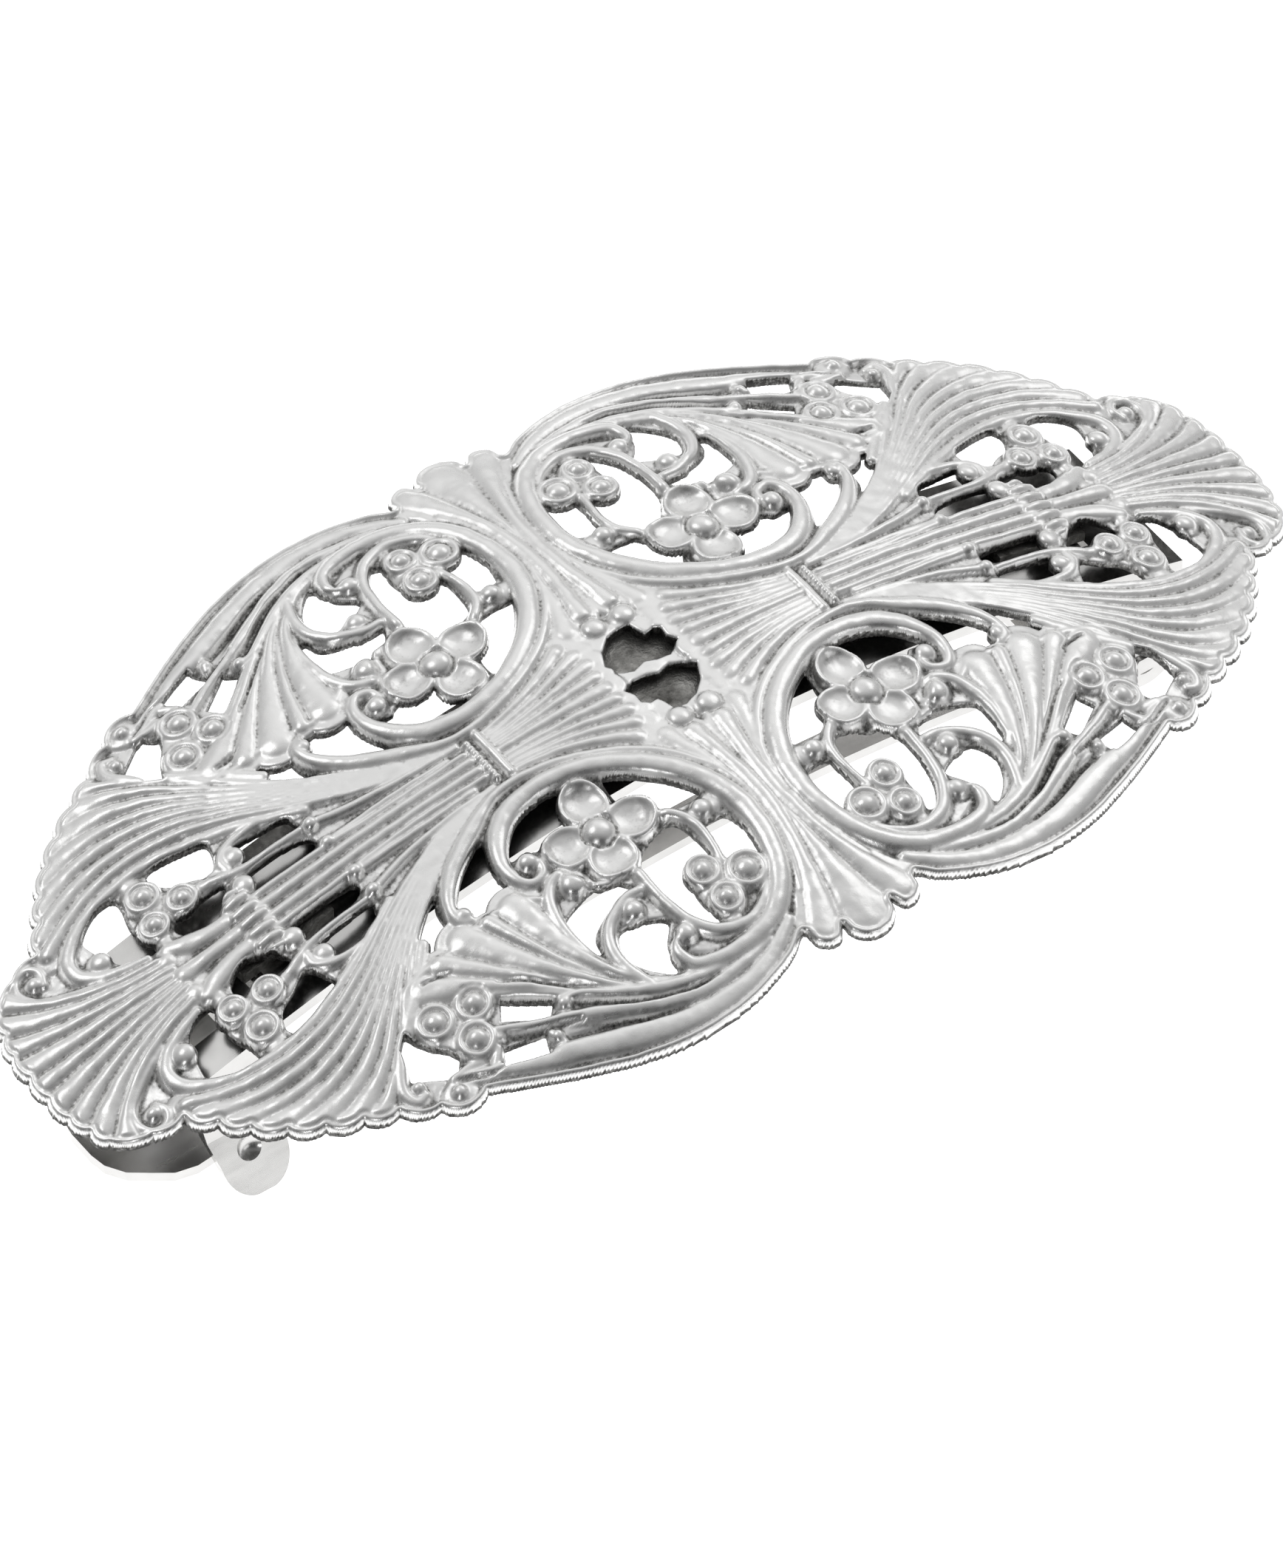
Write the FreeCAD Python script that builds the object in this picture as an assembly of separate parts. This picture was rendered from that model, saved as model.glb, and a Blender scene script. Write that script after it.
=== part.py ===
import FreeCAD, Part
import math
import os

# French (auto-clasp) barrette: a pierced, die-stamped filigree plate soldered on a steel clasp.
# Own frame, millimetres: +X along the barrette towards the hinge, -X towards the latch,
# +Z up through the face of the plate. The origin is the centre of the plan, at the level
# of the ear tips the barrette stands on.

# ---- filigree plate -------------------------------------------------------------------
CREST_Z = 18.8          # height of the plate's face at its centre
HALF_LENGTH = 49.3      # plan half length, to the tip of the end palmette
HALF_WIDTH = 25.0       # plan half width, to the tip of the side shell
SHEET_T = 0.8           # sheet thickness
ARCH_X2 = 0.00508       # lengthwise droop, second and fourth order
ARCH_X4 = -3.2e-7
ARCH_Y2 = 0.0039        # crosswise droop, second and fourth order
ARCH_Y4 = 1.9e-6
SURFACE_STEPS_X = 16
SURFACE_STEPS_Y = 8
SURFACE_MARGIN = 1.5
PRISM_TOP = 24.0

# ---- clasp ----------------------------------------------------------------------------
STEEL_T = 0.9           # base strip and ears
BASE_DROP = 1.6         # plate face to base strip face
BASE_HALF_W = 6.2
BASE_LATCH_X = -41.4
BASE_HINGE_X = 38.6
CURVE_STEPS = 12

HINGE_X = 36.0
HINGE_Z = 2.3
HINGE_EAR_R = 2.3
HINGE_EAR_ROOT = (32.2, 38.4)
PIN_HOLE_R = 1.15
PIN_R = 1.08
PIN_FLAT = 1.3          # the trunnion tabs are flattened round stubs

FLARE_Z = 4.0           # latch ears turn outwards below this level
FLARE_OUT = 2.5
LATCH_EAR_ROOT = (-41.2, -33.0)
CATCH_X = -36.6
CATCH_Z = 0.95
CATCH_R = 0.9
CATCH_TIP_Y = 5.96
LATCH_EAR_TIP = [(-38.9, 2.2), (-38.3, 0.65), (-36.4, 0.0), (-34.5, 0.65), (-33.9, 2.2)]
DIMPLE_R = 1.3
DIMPLE_DEPTH = 0.35
DIMPLE_Z = 2.7
LIGHTENING_X = (-39.5, -36.0)   # window between the latch ears
LIGHTENING_HALF_W = 3.6

ARM_T = 0.8
ARM_CREST_Z = 7.8       # top of the arm at its highest point
ARM_CREST_X = 1.5
ARM_ARCH = 0.0041
ARM_HALF_W = 5.3
ARM_SHOULDER = 5.9
ARM_TIP_X = -44.8
ARM_END_X = 37.4
ARM_BEND_X = -33.0      # the tongue is flattened beyond this bend
TONGUE_Z = 1.85
ARM_RAIL_W = 2.7
ARM_SIDE_GAP = 0.45     # between the hinge ears
ARM_CORNER = 1.0
TONGUE_PLAN = [(-33.5, 5.3), (-37.5, 5.8), (-39.8, 5.9), (-41.3, 5.5), (-42.5, 4.6), (-43.8, 3.6),
               (-44.6, 2.3), (-44.8, 1.1)]
HINGE_END_X = (33.0, 30.0)      # the frame widens between these two
PIN_OVERHANG = 0.25
FLAT_MARGIN = 1.0
ARM_SLOT = (-31.0, 29.5)

SPRING_T = 0.35
SPRING_HALF_W = 2.5
SPRING_END_X = 32.6
SPRING_CREST_Z = 13.4
SPRING_END_Z = 10.55
SPRING_TAB = 0.35
SPRING_SLOT_HALF_W = 2.7
SPRING_SLOT = (32.2, 33.4)
SPRING_TAB_GAP = 0.1

SOLDER_SKIN = 0.01
SOLDER_PADS = {
    "solder_centre": (-4.5, 4.5, 4.2),
    "solder_latch_end": (-33.5, -26.5, 2.2),
    "solder_hinge_end": (26.5, 33.5, 2.2),
}


def droop_x(x):
    return ARCH_X2 * x ** 2 + ARCH_X4 * x ** 4


def droop_y(y):
    return ARCH_Y2 * y ** 2 + ARCH_Y4 * y ** 4


def face_z(x, y):
    return CREST_Z - droop_x(x) - droop_y(y)


def base_top(x):
    return CREST_Z - BASE_DROP - droop_x(x)


def v(x, y, z=0.0):
    return FreeCAD.Vector(x, y, z)


def spline(points, closed=False):
    curve = Part.BSplineCurve()
    curve.interpolate(Points=points, PeriodicFlag=closed)
    return curve.toShape()


def strip(top, thickness, x0, x1, half_w, steps=CURVE_STEPS):
    """A sheet strip whose face follows z = top(x) from x0 to x1."""
    xs = [x0 + (x1 - x0) * i / steps for i in range(steps + 1)]
    upper = spline([v(x, -half_w, top(x)) for x in xs])
    lower = spline([v(x, -half_w, top(x) - thickness) for x in xs])
    left = Part.makeLine(v(x0, -half_w, top(x0)), v(x0, -half_w, top(x0) - thickness))
    right = Part.makeLine(v(x1, -half_w, top(x1)), v(x1, -half_w, top(x1) - thickness))
    wire = Part.Wire(Part.__sortEdges__([upper, lower, left, right]))
    return Part.Face(wire).extrude(v(0, 2 * half_w, 0))


def box(x0, x1, y0, y1, z0, z1):
    return Part.makeBox(x1 - x0, y1 - y0, z1 - z0, v(x0, y0, z0))


def mirrored(shape, in_x, in_y):
    out = shape
    if in_x:
        out = out.mirror(v(0, 0), v(1, 0))
    if in_y:
        out = out.mirror(v(0, 0), v(0, 1))
    return out


def four_ways(shape):
    return [mirrored(shape, a, b) for a in (False, True) for b in (False, True)]


# ---- outline of the plate, one quarter (+X, +Y) ----------------------------------------
# scallop joints: side shell, sweeping leaf edge, rim knob, big fan, end palmette
SHELL_LOBES = [((1.9, 23.3), (3.3, 24.0), (4.3, 22.4))]
LEAF_EDGE = [(4.3, 22.4), (6.0, 23.6), (12.0, 24.85), (18.0, 23.95), (23.5, 21.7), (27.0, 19.8)]
RIM_KNOB = ((27.0, 19.8), (28.5, 20.4), (29.9, 19.0))
FAN_JOINTS = [(29.9, 19.0), (32.2, 17.5), (34.3, 16.5), (36.3, 15.2),
              (38.2, 13.7), (39.8, 12.0), (41.0, 10.3), (41.8, 8.4)]
PALMETTE_JOINTS = [(41.8, 8.4), (43.9, 8.3), (46.0, 7.2), (47.5, 5.4), (48.5, 3.2), (49.0, 1.1)]
SCALLOP = 0.35


def lobe(p, m, q):
    return Part.Arc(v(*p), v(*m), v(*q)).toShape()


def scallops(joints, bulge):
    edges = []
    for (x0, y0), (x1, y1) in zip(joints, joints[1:]):
        length = math.hypot(x1 - x0, y1 - y0)
        out_x = -(y1 - y0) / length * bulge
        out_y = (x1 - x0) / length * bulge
        edges.append(lobe((x0, y0), ((x0 + x1) / 2 + out_x, (y0 + y1) / 2 + out_y), (x1, y1)))
    return edges


quarter = [lobe(*points) for points in SHELL_LOBES]
quarter.append(spline([v(*p) for p in LEAF_EDGE]))
quarter.append(lobe(*RIM_KNOB))
quarter += scallops(FAN_JOINTS, SCALLOP)
quarter += scallops(PALMETTE_JOINTS, SCALLOP)

outline = []
for edge in quarter:
    outline += four_ways(edge)
shell_x, shell_y = SHELL_LOBES[0][0]
tip_x, tip_y = PALMETTE_JOINTS[-1]
for side in (1, -1):
    outline.append(lobe((-shell_x, side * shell_y), (0, side * HALF_WIDTH), (shell_x, side * shell_y)))
    outline.append(lobe((side * tip_x, tip_y), (side * HALF_LENGTH, 0), (side * tip_x, -tip_y)))

# ---- pierced windows, one quarter ------------------------------------------------------
ROUND_WINDOWS = [
    # round the flower, inside the scroll ring
    [(3.5, 10.2), (5.8, 10.3), (6.9, 9.1), (7.8, 7.9), (7.8, 6.2), (6.6, 6.6), (4.9, 8.2)],
    [(11.2, 5.1), (12.0, 6.9), (13.9, 7.7), (16.0, 7.1), (15.9, 5.9), (13.6, 4.9)],
    [(2.9, 15.3), (3.9, 15.7), (4.9, 15.2), (4.9, 13.2), (3.9, 12.6), (2.9, 13.6)],
    [(8.4, 18.5), (9.5, 18.2), (10.0, 16.0), (9.7, 12.8), (8.0, 11.6), (6.2, 12.0),
     (5.9, 14.2), (7.3, 15.0), (8.4, 16.6)],
    [(12.7, 20.1), (13.7, 19.1), (13.9, 17.2), (12.6, 16.3), (11.2, 17.1), (12.2, 18.4)],
    [(15.8, 16.2), (16.3, 14.6), (15.9, 13.2), (13.4, 12.3), (11.8, 13.4), (13.0, 14.1), (15.1, 15.1)],
    # between the hook, the outer arc and the leaf fan
    [(17.6, 9.9), (19.2, 10.3), (20.7, 9.0), (20.3, 7.1), (18.6, 5.9), (17.3, 5.6), (17.7, 7.7)],
    [(22.8, 9.6), (24.2, 10.0), (25.3, 9.8), (24.4, 8.3), (22.8, 7.0), (22.6, 8.3)],
    # beside the stalk, round the end berries
    [(30.1, 6.6), (31.4, 7.5), (33.2, 7.9), (33.6, 6.8), (32.2, 6.0), (30.8, 5.5)],
    [(31.0, 3.5), (32.9, 3.8), (34.5, 3.5), (34.4, 2.6), (33.0, 1.9), (31.8, 2.5)],
    [(36.5, 7.4), (37.7, 7.8), (39.2, 7.0), (38.9, 5.4), (38.6, 3.9), (37.0, 3.5), (36.9, 5.5)],
]
SQUARE_WINDOWS = [
    # outer berry cluster
    [(20.3, 17.6), (21.0, 18.3), (23.3, 16.4), (22.7, 15.4)],
    [(21.9, 18.8), (22.3, 20.0), (24.8, 18.9), (24.4, 18.0)],
    [(27.2, 16.9), (28.3, 17.4), (30.3, 16.1), (29.7, 14.0), (28.9, 13.4), (28.1, 15.0)],
    # slots beside the centre stalk
    [(25.1, 4.2), (25.7, 5.4), (28.6, 5.4), (29.1, 4.3)],
    [(25.2, 2.0), (25.7, 3.2), (29.4, 3.2), (29.6, 2.1)],
]
# two irregular openings side by side across the middle
CENTRE_WINDOW = [(-2.2, 2.6), (-1.2, 3.8), (0.4, 4.0), (1.7, 3.3), (2.3, 2.0), (1.2, 0.9), (-0.6, 0.7),
                 (-1.9, 1.3)]

holes = []
for points in ROUND_WINDOWS:
    holes += four_ways(Part.Wire([spline([v(*p) for p in points], closed=True)]))
for points in SQUARE_WINDOWS:
    holes += four_ways(Part.makePolygon([v(*p) for p in points + points[:1]]))
centre_hole = Part.Wire([spline([v(*p) for p in CENTRE_WINDOW], closed=True)])
holes += [centre_hole, mirrored(centre_hole, True, True)]

# ---- raised bosses, one quarter: (x, y, radius in plan, rise) --------------------------
BOSSES = [
    (10.4, 9.1, 0.95, 0.75),                                        # flower centre
    (4.7, 17.0, 1.45, 0.6), (7.0, 17.9, 1.2, 0.6), (7.1, 15.6, 1.2, 0.6),   # ring berries
    (25.5, 16.7, 1.25, 0.6), (24.3, 14.5, 1.2, 0.6), (27.0, 13.9, 1.2, 0.6),  # outer berries
    (35.2, 6.8, 1.1, 0.6), (33.5, 4.7, 1.0, 0.6), (35.8, 4.5, 1.0, 0.6),    # end berries
    (4.2, 11.4, 0.8, 0.6), (14.3, 11.3, 1.0, 0.7), (12.4, 15.0, 0.9, 0.6),  # tendril balls
    (10.9, 18.7, 0.9, 0.6), (15.7, 8.2, 1.0, 0.6), (39.9, 4.6, 1.0, 0.6),
    (28.4, 18.9, 1.1, 0.7), (24.6, 3.6, 0.6, 0.4), (24.6, 1.6, 0.6, 0.4),
    (29.4, 5.0, 0.7, 0.4), (30.1, 2.7, 0.7, 0.4), (1.1, 5.0, 0.8, 0.5),
]
PETAL_OFFSET = 2.1
PETAL_R = 1.75
PETAL_RISE = 0.45
BOSS_SINK = 0.35        # how far a boss is rooted in the sheet


def dome(x, y, radius, rise):
    height = rise + BOSS_SINK
    ball = (radius ** 2 + height ** 2) / (2 * height)
    start = math.degrees(math.asin((ball - height) / ball))
    centre = v(x, y, face_z(x, y) + rise - ball)
    return Part.makeSphere(ball, centre, v(0, 0, 1), start, 90, 360)


def plate():
    face = Part.makeFace([Part.Wire(Part.__sortEdges__(outline))] + holes, "Part::FaceMakerBullseye")
    prism = face.extrude(v(0, 0, PRISM_TOP))
    length = HALF_LENGTH + SURFACE_MARGIN
    width = HALF_WIDTH + SURFACE_MARGIN
    rows = []
    for i in range(SURFACE_STEPS_X + 1):
        x = length * (2 * i / SURFACE_STEPS_X - 1)
        ys = [width * (2 * j / SURFACE_STEPS_Y - 1) for j in range(SURFACE_STEPS_Y + 1)]
        rows.append([v(x, y, face_z(x, y)) for y in ys])
    surface = Part.BSplineSurface()
    surface.interpolate(rows)
    sheet = surface.toShape().extrude(v(0, 0, -SHEET_T))
    body = prism.common(sheet)
    domes = []
    flower_x, flower_y = BOSSES[0][:2]
    petals = [
        (flower_x + PETAL_OFFSET * dx, flower_y + PETAL_OFFSET * dy, PETAL_R, PETAL_RISE)
        for dx, dy in ((1, 0), (-1, 0), (0, 1), (0, -1))
    ]
    for item in petals + BOSSES:
        domes += four_ways(dome(*item))
    return body.fuse(domes)


# ---- clasp base: arched strip with two hinge ears and two flared latch ears -------------
def base_bar():
    body = strip(base_top, STEEL_T, BASE_LATCH_X, BASE_HINGE_X, BASE_HALF_W)
    inner = BASE_HALF_W - STEEL_T
    under = strip(base_top, PRISM_TOP, BASE_LATCH_X, BASE_HINGE_X, BASE_HALF_W + FLARE_OUT)

    root0, root1 = HINGE_EAR_ROOT
    ear_top = base_top(root0)
    lean = HINGE_EAR_R * math.sin(math.radians(45))
    hinge_edges = [
        Part.makeLine(v(root0, 0, ear_top), v(HINGE_X - HINGE_EAR_R, 0, HINGE_Z + lean)),
        Part.Arc(
            v(HINGE_X - HINGE_EAR_R, 0, HINGE_Z + lean),
            v(HINGE_X, 0, HINGE_Z - HINGE_EAR_R),
            v(HINGE_X + HINGE_EAR_R, 0, HINGE_Z + lean),
        ).toShape(),
        Part.makeLine(v(HINGE_X + HINGE_EAR_R, 0, HINGE_Z + lean), v(root1, 0, ear_top)),
        Part.makeLine(v(root1, 0, ear_top), v(root0, 0, ear_top)),
    ]
    ear = Part.Face(Part.Wire(hinge_edges)).extrude(v(0, STEEL_T, 0))
    hole = Part.makeCylinder(PIN_HOLE_R, STEEL_T, v(HINGE_X, 0, HINGE_Z), v(0, 1, 0))
    ear = ear.cut(hole)
    ears = [ear.translated(v(0, inner, 0)), ear.translated(v(0, -BASE_HALF_W, 0))]

    # latch ear seen along Y: a tapering tab with a rounded tip
    left, right = LATCH_EAR_ROOT
    top = base_top(right) + STEEL_T
    tip = [v(x, 0, z) for x, z in LATCH_EAR_TIP]
    tab_edges = [
        Part.makeLine(v(right, 0, top), v(left, 0, top)),
        Part.makeLine(v(left, 0, top), tip[0]),
        Part.Arc(tip[0], tip[1], tip[2]).toShape(),
        Part.Arc(tip[2], tip[3], tip[4]).toShape(),
        Part.makeLine(tip[4], v(right, 0, top)),
    ]
    reach = BASE_HALF_W + FLARE_OUT
    tab = Part.Face(Part.Wire(tab_edges)).extrude(v(0, 2 * reach, 0)).translated(v(0, -reach, 0))
    # seen along X: straight down, then flared out to the finger tip
    section = [
        (inner, top), (inner, FLARE_Z), (reach - STEEL_T, 0), (reach, 0),
        (BASE_HALF_W, FLARE_Z), (BASE_HALF_W, top), (inner, top),
    ]
    bent = Part.Face(Part.makePolygon([v(left, y, z) for y, z in section]))
    bent = bent.extrude(v(right - left, 0, 0))
    catch_y = CATCH_TIP_Y + CATCH_R
    catch = Part.makeSphere(CATCH_R, v(CATCH_X, catch_y, CATCH_Z))
    slope = math.hypot(FLARE_OUT, FLARE_Z)
    lift = DIMPLE_R - DIMPLE_DEPTH
    dimple_y = BASE_HALF_W + FLARE_OUT * (1 - DIMPLE_Z / FLARE_Z) + lift * FLARE_Z / slope
    dimple = Part.makeSphere(DIMPLE_R, v(CATCH_X, dimple_y, DIMPLE_Z + lift * FLARE_OUT / slope))
    outside = box(left, right, inner, reach + CATCH_R, -CATCH_R, 0)
    latch_ear = bent.common(tab).fuse(catch).cut(dimple).cut(outside)
    ears += [latch_ear, mirrored(latch_ear, False, True)]

    body = body.fuse([item.common(under) for item in ears])
    for side in (1, -1):
        x0, x1 = sorted((side * SPRING_SLOT[0], side * SPRING_SLOT[1]))
        body = body.cut(box(x0, x1, -SPRING_SLOT_HALF_W, SPRING_SLOT_HALF_W, 0, PRISM_TOP))
    window = box(*LIGHTENING_X, -LIGHTENING_HALF_W, LIGHTENING_HALF_W, 0, PRISM_TOP)
    return body.cut(window).removeSplitter()


# ---- clasp arm: open frame with a tongue and two trunnion tabs --------------------------
def arm_top(x):
    if x >= ARM_BEND_X:
        return ARM_CREST_Z - ARM_ARCH * (x - ARM_CREST_X) ** 2
    start = ARM_CREST_Z - ARM_ARCH * (ARM_BEND_X - ARM_CREST_X) ** 2
    reach = (ARM_BEND_X - x) / (ARM_BEND_X - ARM_TIP_X)
    return start + (TONGUE_Z - start) * (1 - (1 - reach) ** 2)


def clasp_arm():
    arched = strip(arm_top, ARM_T, ARM_TIP_X, ARM_END_X, ARM_SHOULDER, 3 * CURVE_STEPS)
    narrow = BASE_HALF_W - STEEL_T - ARM_SIDE_GAP
    side = [
        (ARM_END_X, narrow - ARM_CORNER), (ARM_END_X - ARM_CORNER, narrow), (HINGE_END_X[0], narrow),
        (HINGE_END_X[1], ARM_HALF_W),
    ] + TONGUE_PLAN
    loop = side + [(x, -y) for x, y in reversed(side)]
    plan = Part.Face(Part.makePolygon([v(x, y) for x, y in loop + loop[:1]]))
    body = arched.common(plan.extrude(v(0, 0, PRISM_TOP)))
    gap = ARM_HALF_W - ARM_RAIL_W
    slot_x0, slot_x1 = ARM_SLOT
    body = body.cut(box(slot_x0, slot_x1, -gap, gap, 0, PRISM_TOP))
    reach = BASE_HALF_W + PIN_OVERHANG
    pins = Part.makeCylinder(PIN_R, 2 * reach, v(HINGE_X, -reach, HINGE_Z), v(0, 1, 0))
    flat = box(HINGE_X - PIN_R, HINGE_X + PIN_R, -reach - FLAT_MARGIN, reach + FLAT_MARGIN,
               HINGE_Z - PIN_FLAT / 2, HINGE_Z + PIN_FLAT / 2)
    return body.fuse(pins.common(flat)).removeSplitter()


# ---- bow spring: thin strip hooked in the two slots of the base -------------------------
def spring_top(x):
    return SPRING_CREST_Z - (SPRING_CREST_Z - SPRING_END_Z) * (x / SPRING_END_X) ** 2


def bow_spring():
    body = strip(spring_top, SPRING_T, -SPRING_END_X - SPRING_TAB, SPRING_END_X + SPRING_TAB, SPRING_HALF_W)
    tabs = []
    for side in (1, -1):
        x0, x1 = sorted((side * SPRING_END_X, side * (SPRING_END_X + SPRING_TAB)))
        top = base_top(SPRING_END_X + SPRING_TAB) - SPRING_TAB_GAP
        tabs.append(box(x0, x1, -SPRING_HALF_W, SPRING_HALF_W, SPRING_END_Z - SPRING_T, top))
    return body.fuse(tabs).removeSplitter()


# ---- solder joints between the base and the plate ---------------------------------------
def solder(x0, x1, half_w):
    def top(x):
        return face_z(x, half_w) - SHEET_T - SOLDER_SKIN

    thickness = BASE_DROP - SHEET_T - droop_y(half_w) - 2 * SOLDER_SKIN
    return strip(top, thickness, x0, x1, half_w)


shapes = {
    "filigree_plate": plate(),
    "base_bar": base_bar(),
    "clasp_arm": clasp_arm(),
    "bow_spring": bow_spring(),
}
for name, (x0, x1, half_w) in SOLDER_PADS.items():
    shapes[name] = solder(x0, x1, half_w)

os.makedirs("parts", exist_ok=True)
for name, shape in shapes.items():
    shape.exportStep("parts/" + name + ".step")
    bounds = shape.BoundBox
    low = [round(c, 2) for c in (bounds.XMin, bounds.YMin, bounds.ZMin)]
    high = [round(c, 2) for c in (bounds.XMax, bounds.YMax, bounds.ZMax)]
    print(name, shape.isValid(), len(shape.Solids), round(shape.Volume, 2), low, high)
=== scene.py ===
import math

import bpy
import numpy as np
from mathutils import Matrix, Vector


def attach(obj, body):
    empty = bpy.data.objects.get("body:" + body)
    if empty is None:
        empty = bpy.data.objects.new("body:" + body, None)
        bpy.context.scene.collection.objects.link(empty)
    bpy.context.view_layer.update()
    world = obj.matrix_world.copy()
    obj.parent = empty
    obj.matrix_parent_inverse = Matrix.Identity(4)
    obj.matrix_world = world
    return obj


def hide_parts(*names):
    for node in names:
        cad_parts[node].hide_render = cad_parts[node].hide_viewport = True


# A French (auto-clasp) barrette. The clasp keeps its CAD mesh and gets steel on it. The pierced
# silver plate is a closed sheet grown from a height field: one quarter (+X, +Y) is drawn, and
# mirrored twice. Plan sizes are millimetres, and heights are over the arched face of the plate.

MM = 0.001
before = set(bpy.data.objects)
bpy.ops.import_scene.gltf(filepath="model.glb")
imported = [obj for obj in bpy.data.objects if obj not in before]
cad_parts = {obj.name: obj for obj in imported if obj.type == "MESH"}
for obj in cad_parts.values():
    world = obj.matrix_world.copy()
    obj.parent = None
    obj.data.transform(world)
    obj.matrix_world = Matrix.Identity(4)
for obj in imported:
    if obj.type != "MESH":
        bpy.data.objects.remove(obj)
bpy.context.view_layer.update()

# ---- the plate's arched face -------------------------------------------------------------
CREST_Z = 18.8
ARCH_X2 = 0.00508        # lengthwise droop, second and fourth order
ARCH_X4 = -3.2e-7
ARCH_Y2 = 0.0039         # crosswise droop, second and fourth order
ARCH_Y4 = 1.9e-6


def face_z(x, y):
    return CREST_Z - (ARCH_X2 * x ** 2 + ARCH_X4 * x ** 4) - (ARCH_Y2 * y ** 2 + ARCH_Y4 * y ** 4)


# ---- plan of one quarter -----------------------------------------------------------------
STEP = 0.1               # grid spacing
EXTENT_X = 51.0
EXTENT_Y = 26.5

# outer outline, from the middle of the side shell to the start of the scallops
OUTLINE = [
    (0.0, 25.1), (1.0, 24.85), (1.75, 24.1), (1.9, 23.4), (2.5, 24.15), (3.3, 24.2), (4.1, 23.6),
    (4.4, 22.6), (6.0, 23.6), (9.0, 24.6), (12.0, 24.95), (15.0, 24.75), (18.0, 24.05),
    (21.0, 22.9), (24.0, 21.5), (27.0, 19.9),
]
LOBE_STEPS = 12
LOBE_POWER = 0.7
# scallops: joint points and how far the lobe between each pair bulges
SCALLOPS = [
    ([(27.0, 19.9), (29.95, 18.95)], 0.75),
    ([(29.95, 18.95), (32.15, 17.5), (34.2, 16.5), (36.3, 15.25), (38.2, 13.75), (39.85, 12.05),
      (41.15, 10.3), (42.5, 8.5)], 0.42),
    ([(42.5, 8.5), (44.6, 8.1), (46.9, 6.5), (47.35, 4.9), (47.85, 3.15)], 0.32),
    ([(47.85, 3.15), (47.95, 1.05), (47.95, -1.05), (47.85, -3.15)], 0.3),
]
# the outline runs on past both mirror planes, so that no rim forms along them
BEFORE_OUTLINE = [(-4.0, 22.0), (-1.75, 24.1), (-1.0, 24.85)]
AFTER_OUTLINE = [(47.0, -6.0), (-4.0, -6.0)]
LIP = 0.27               # half width of the rolled rim
LIP_HEIGHT = 0.62

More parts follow.
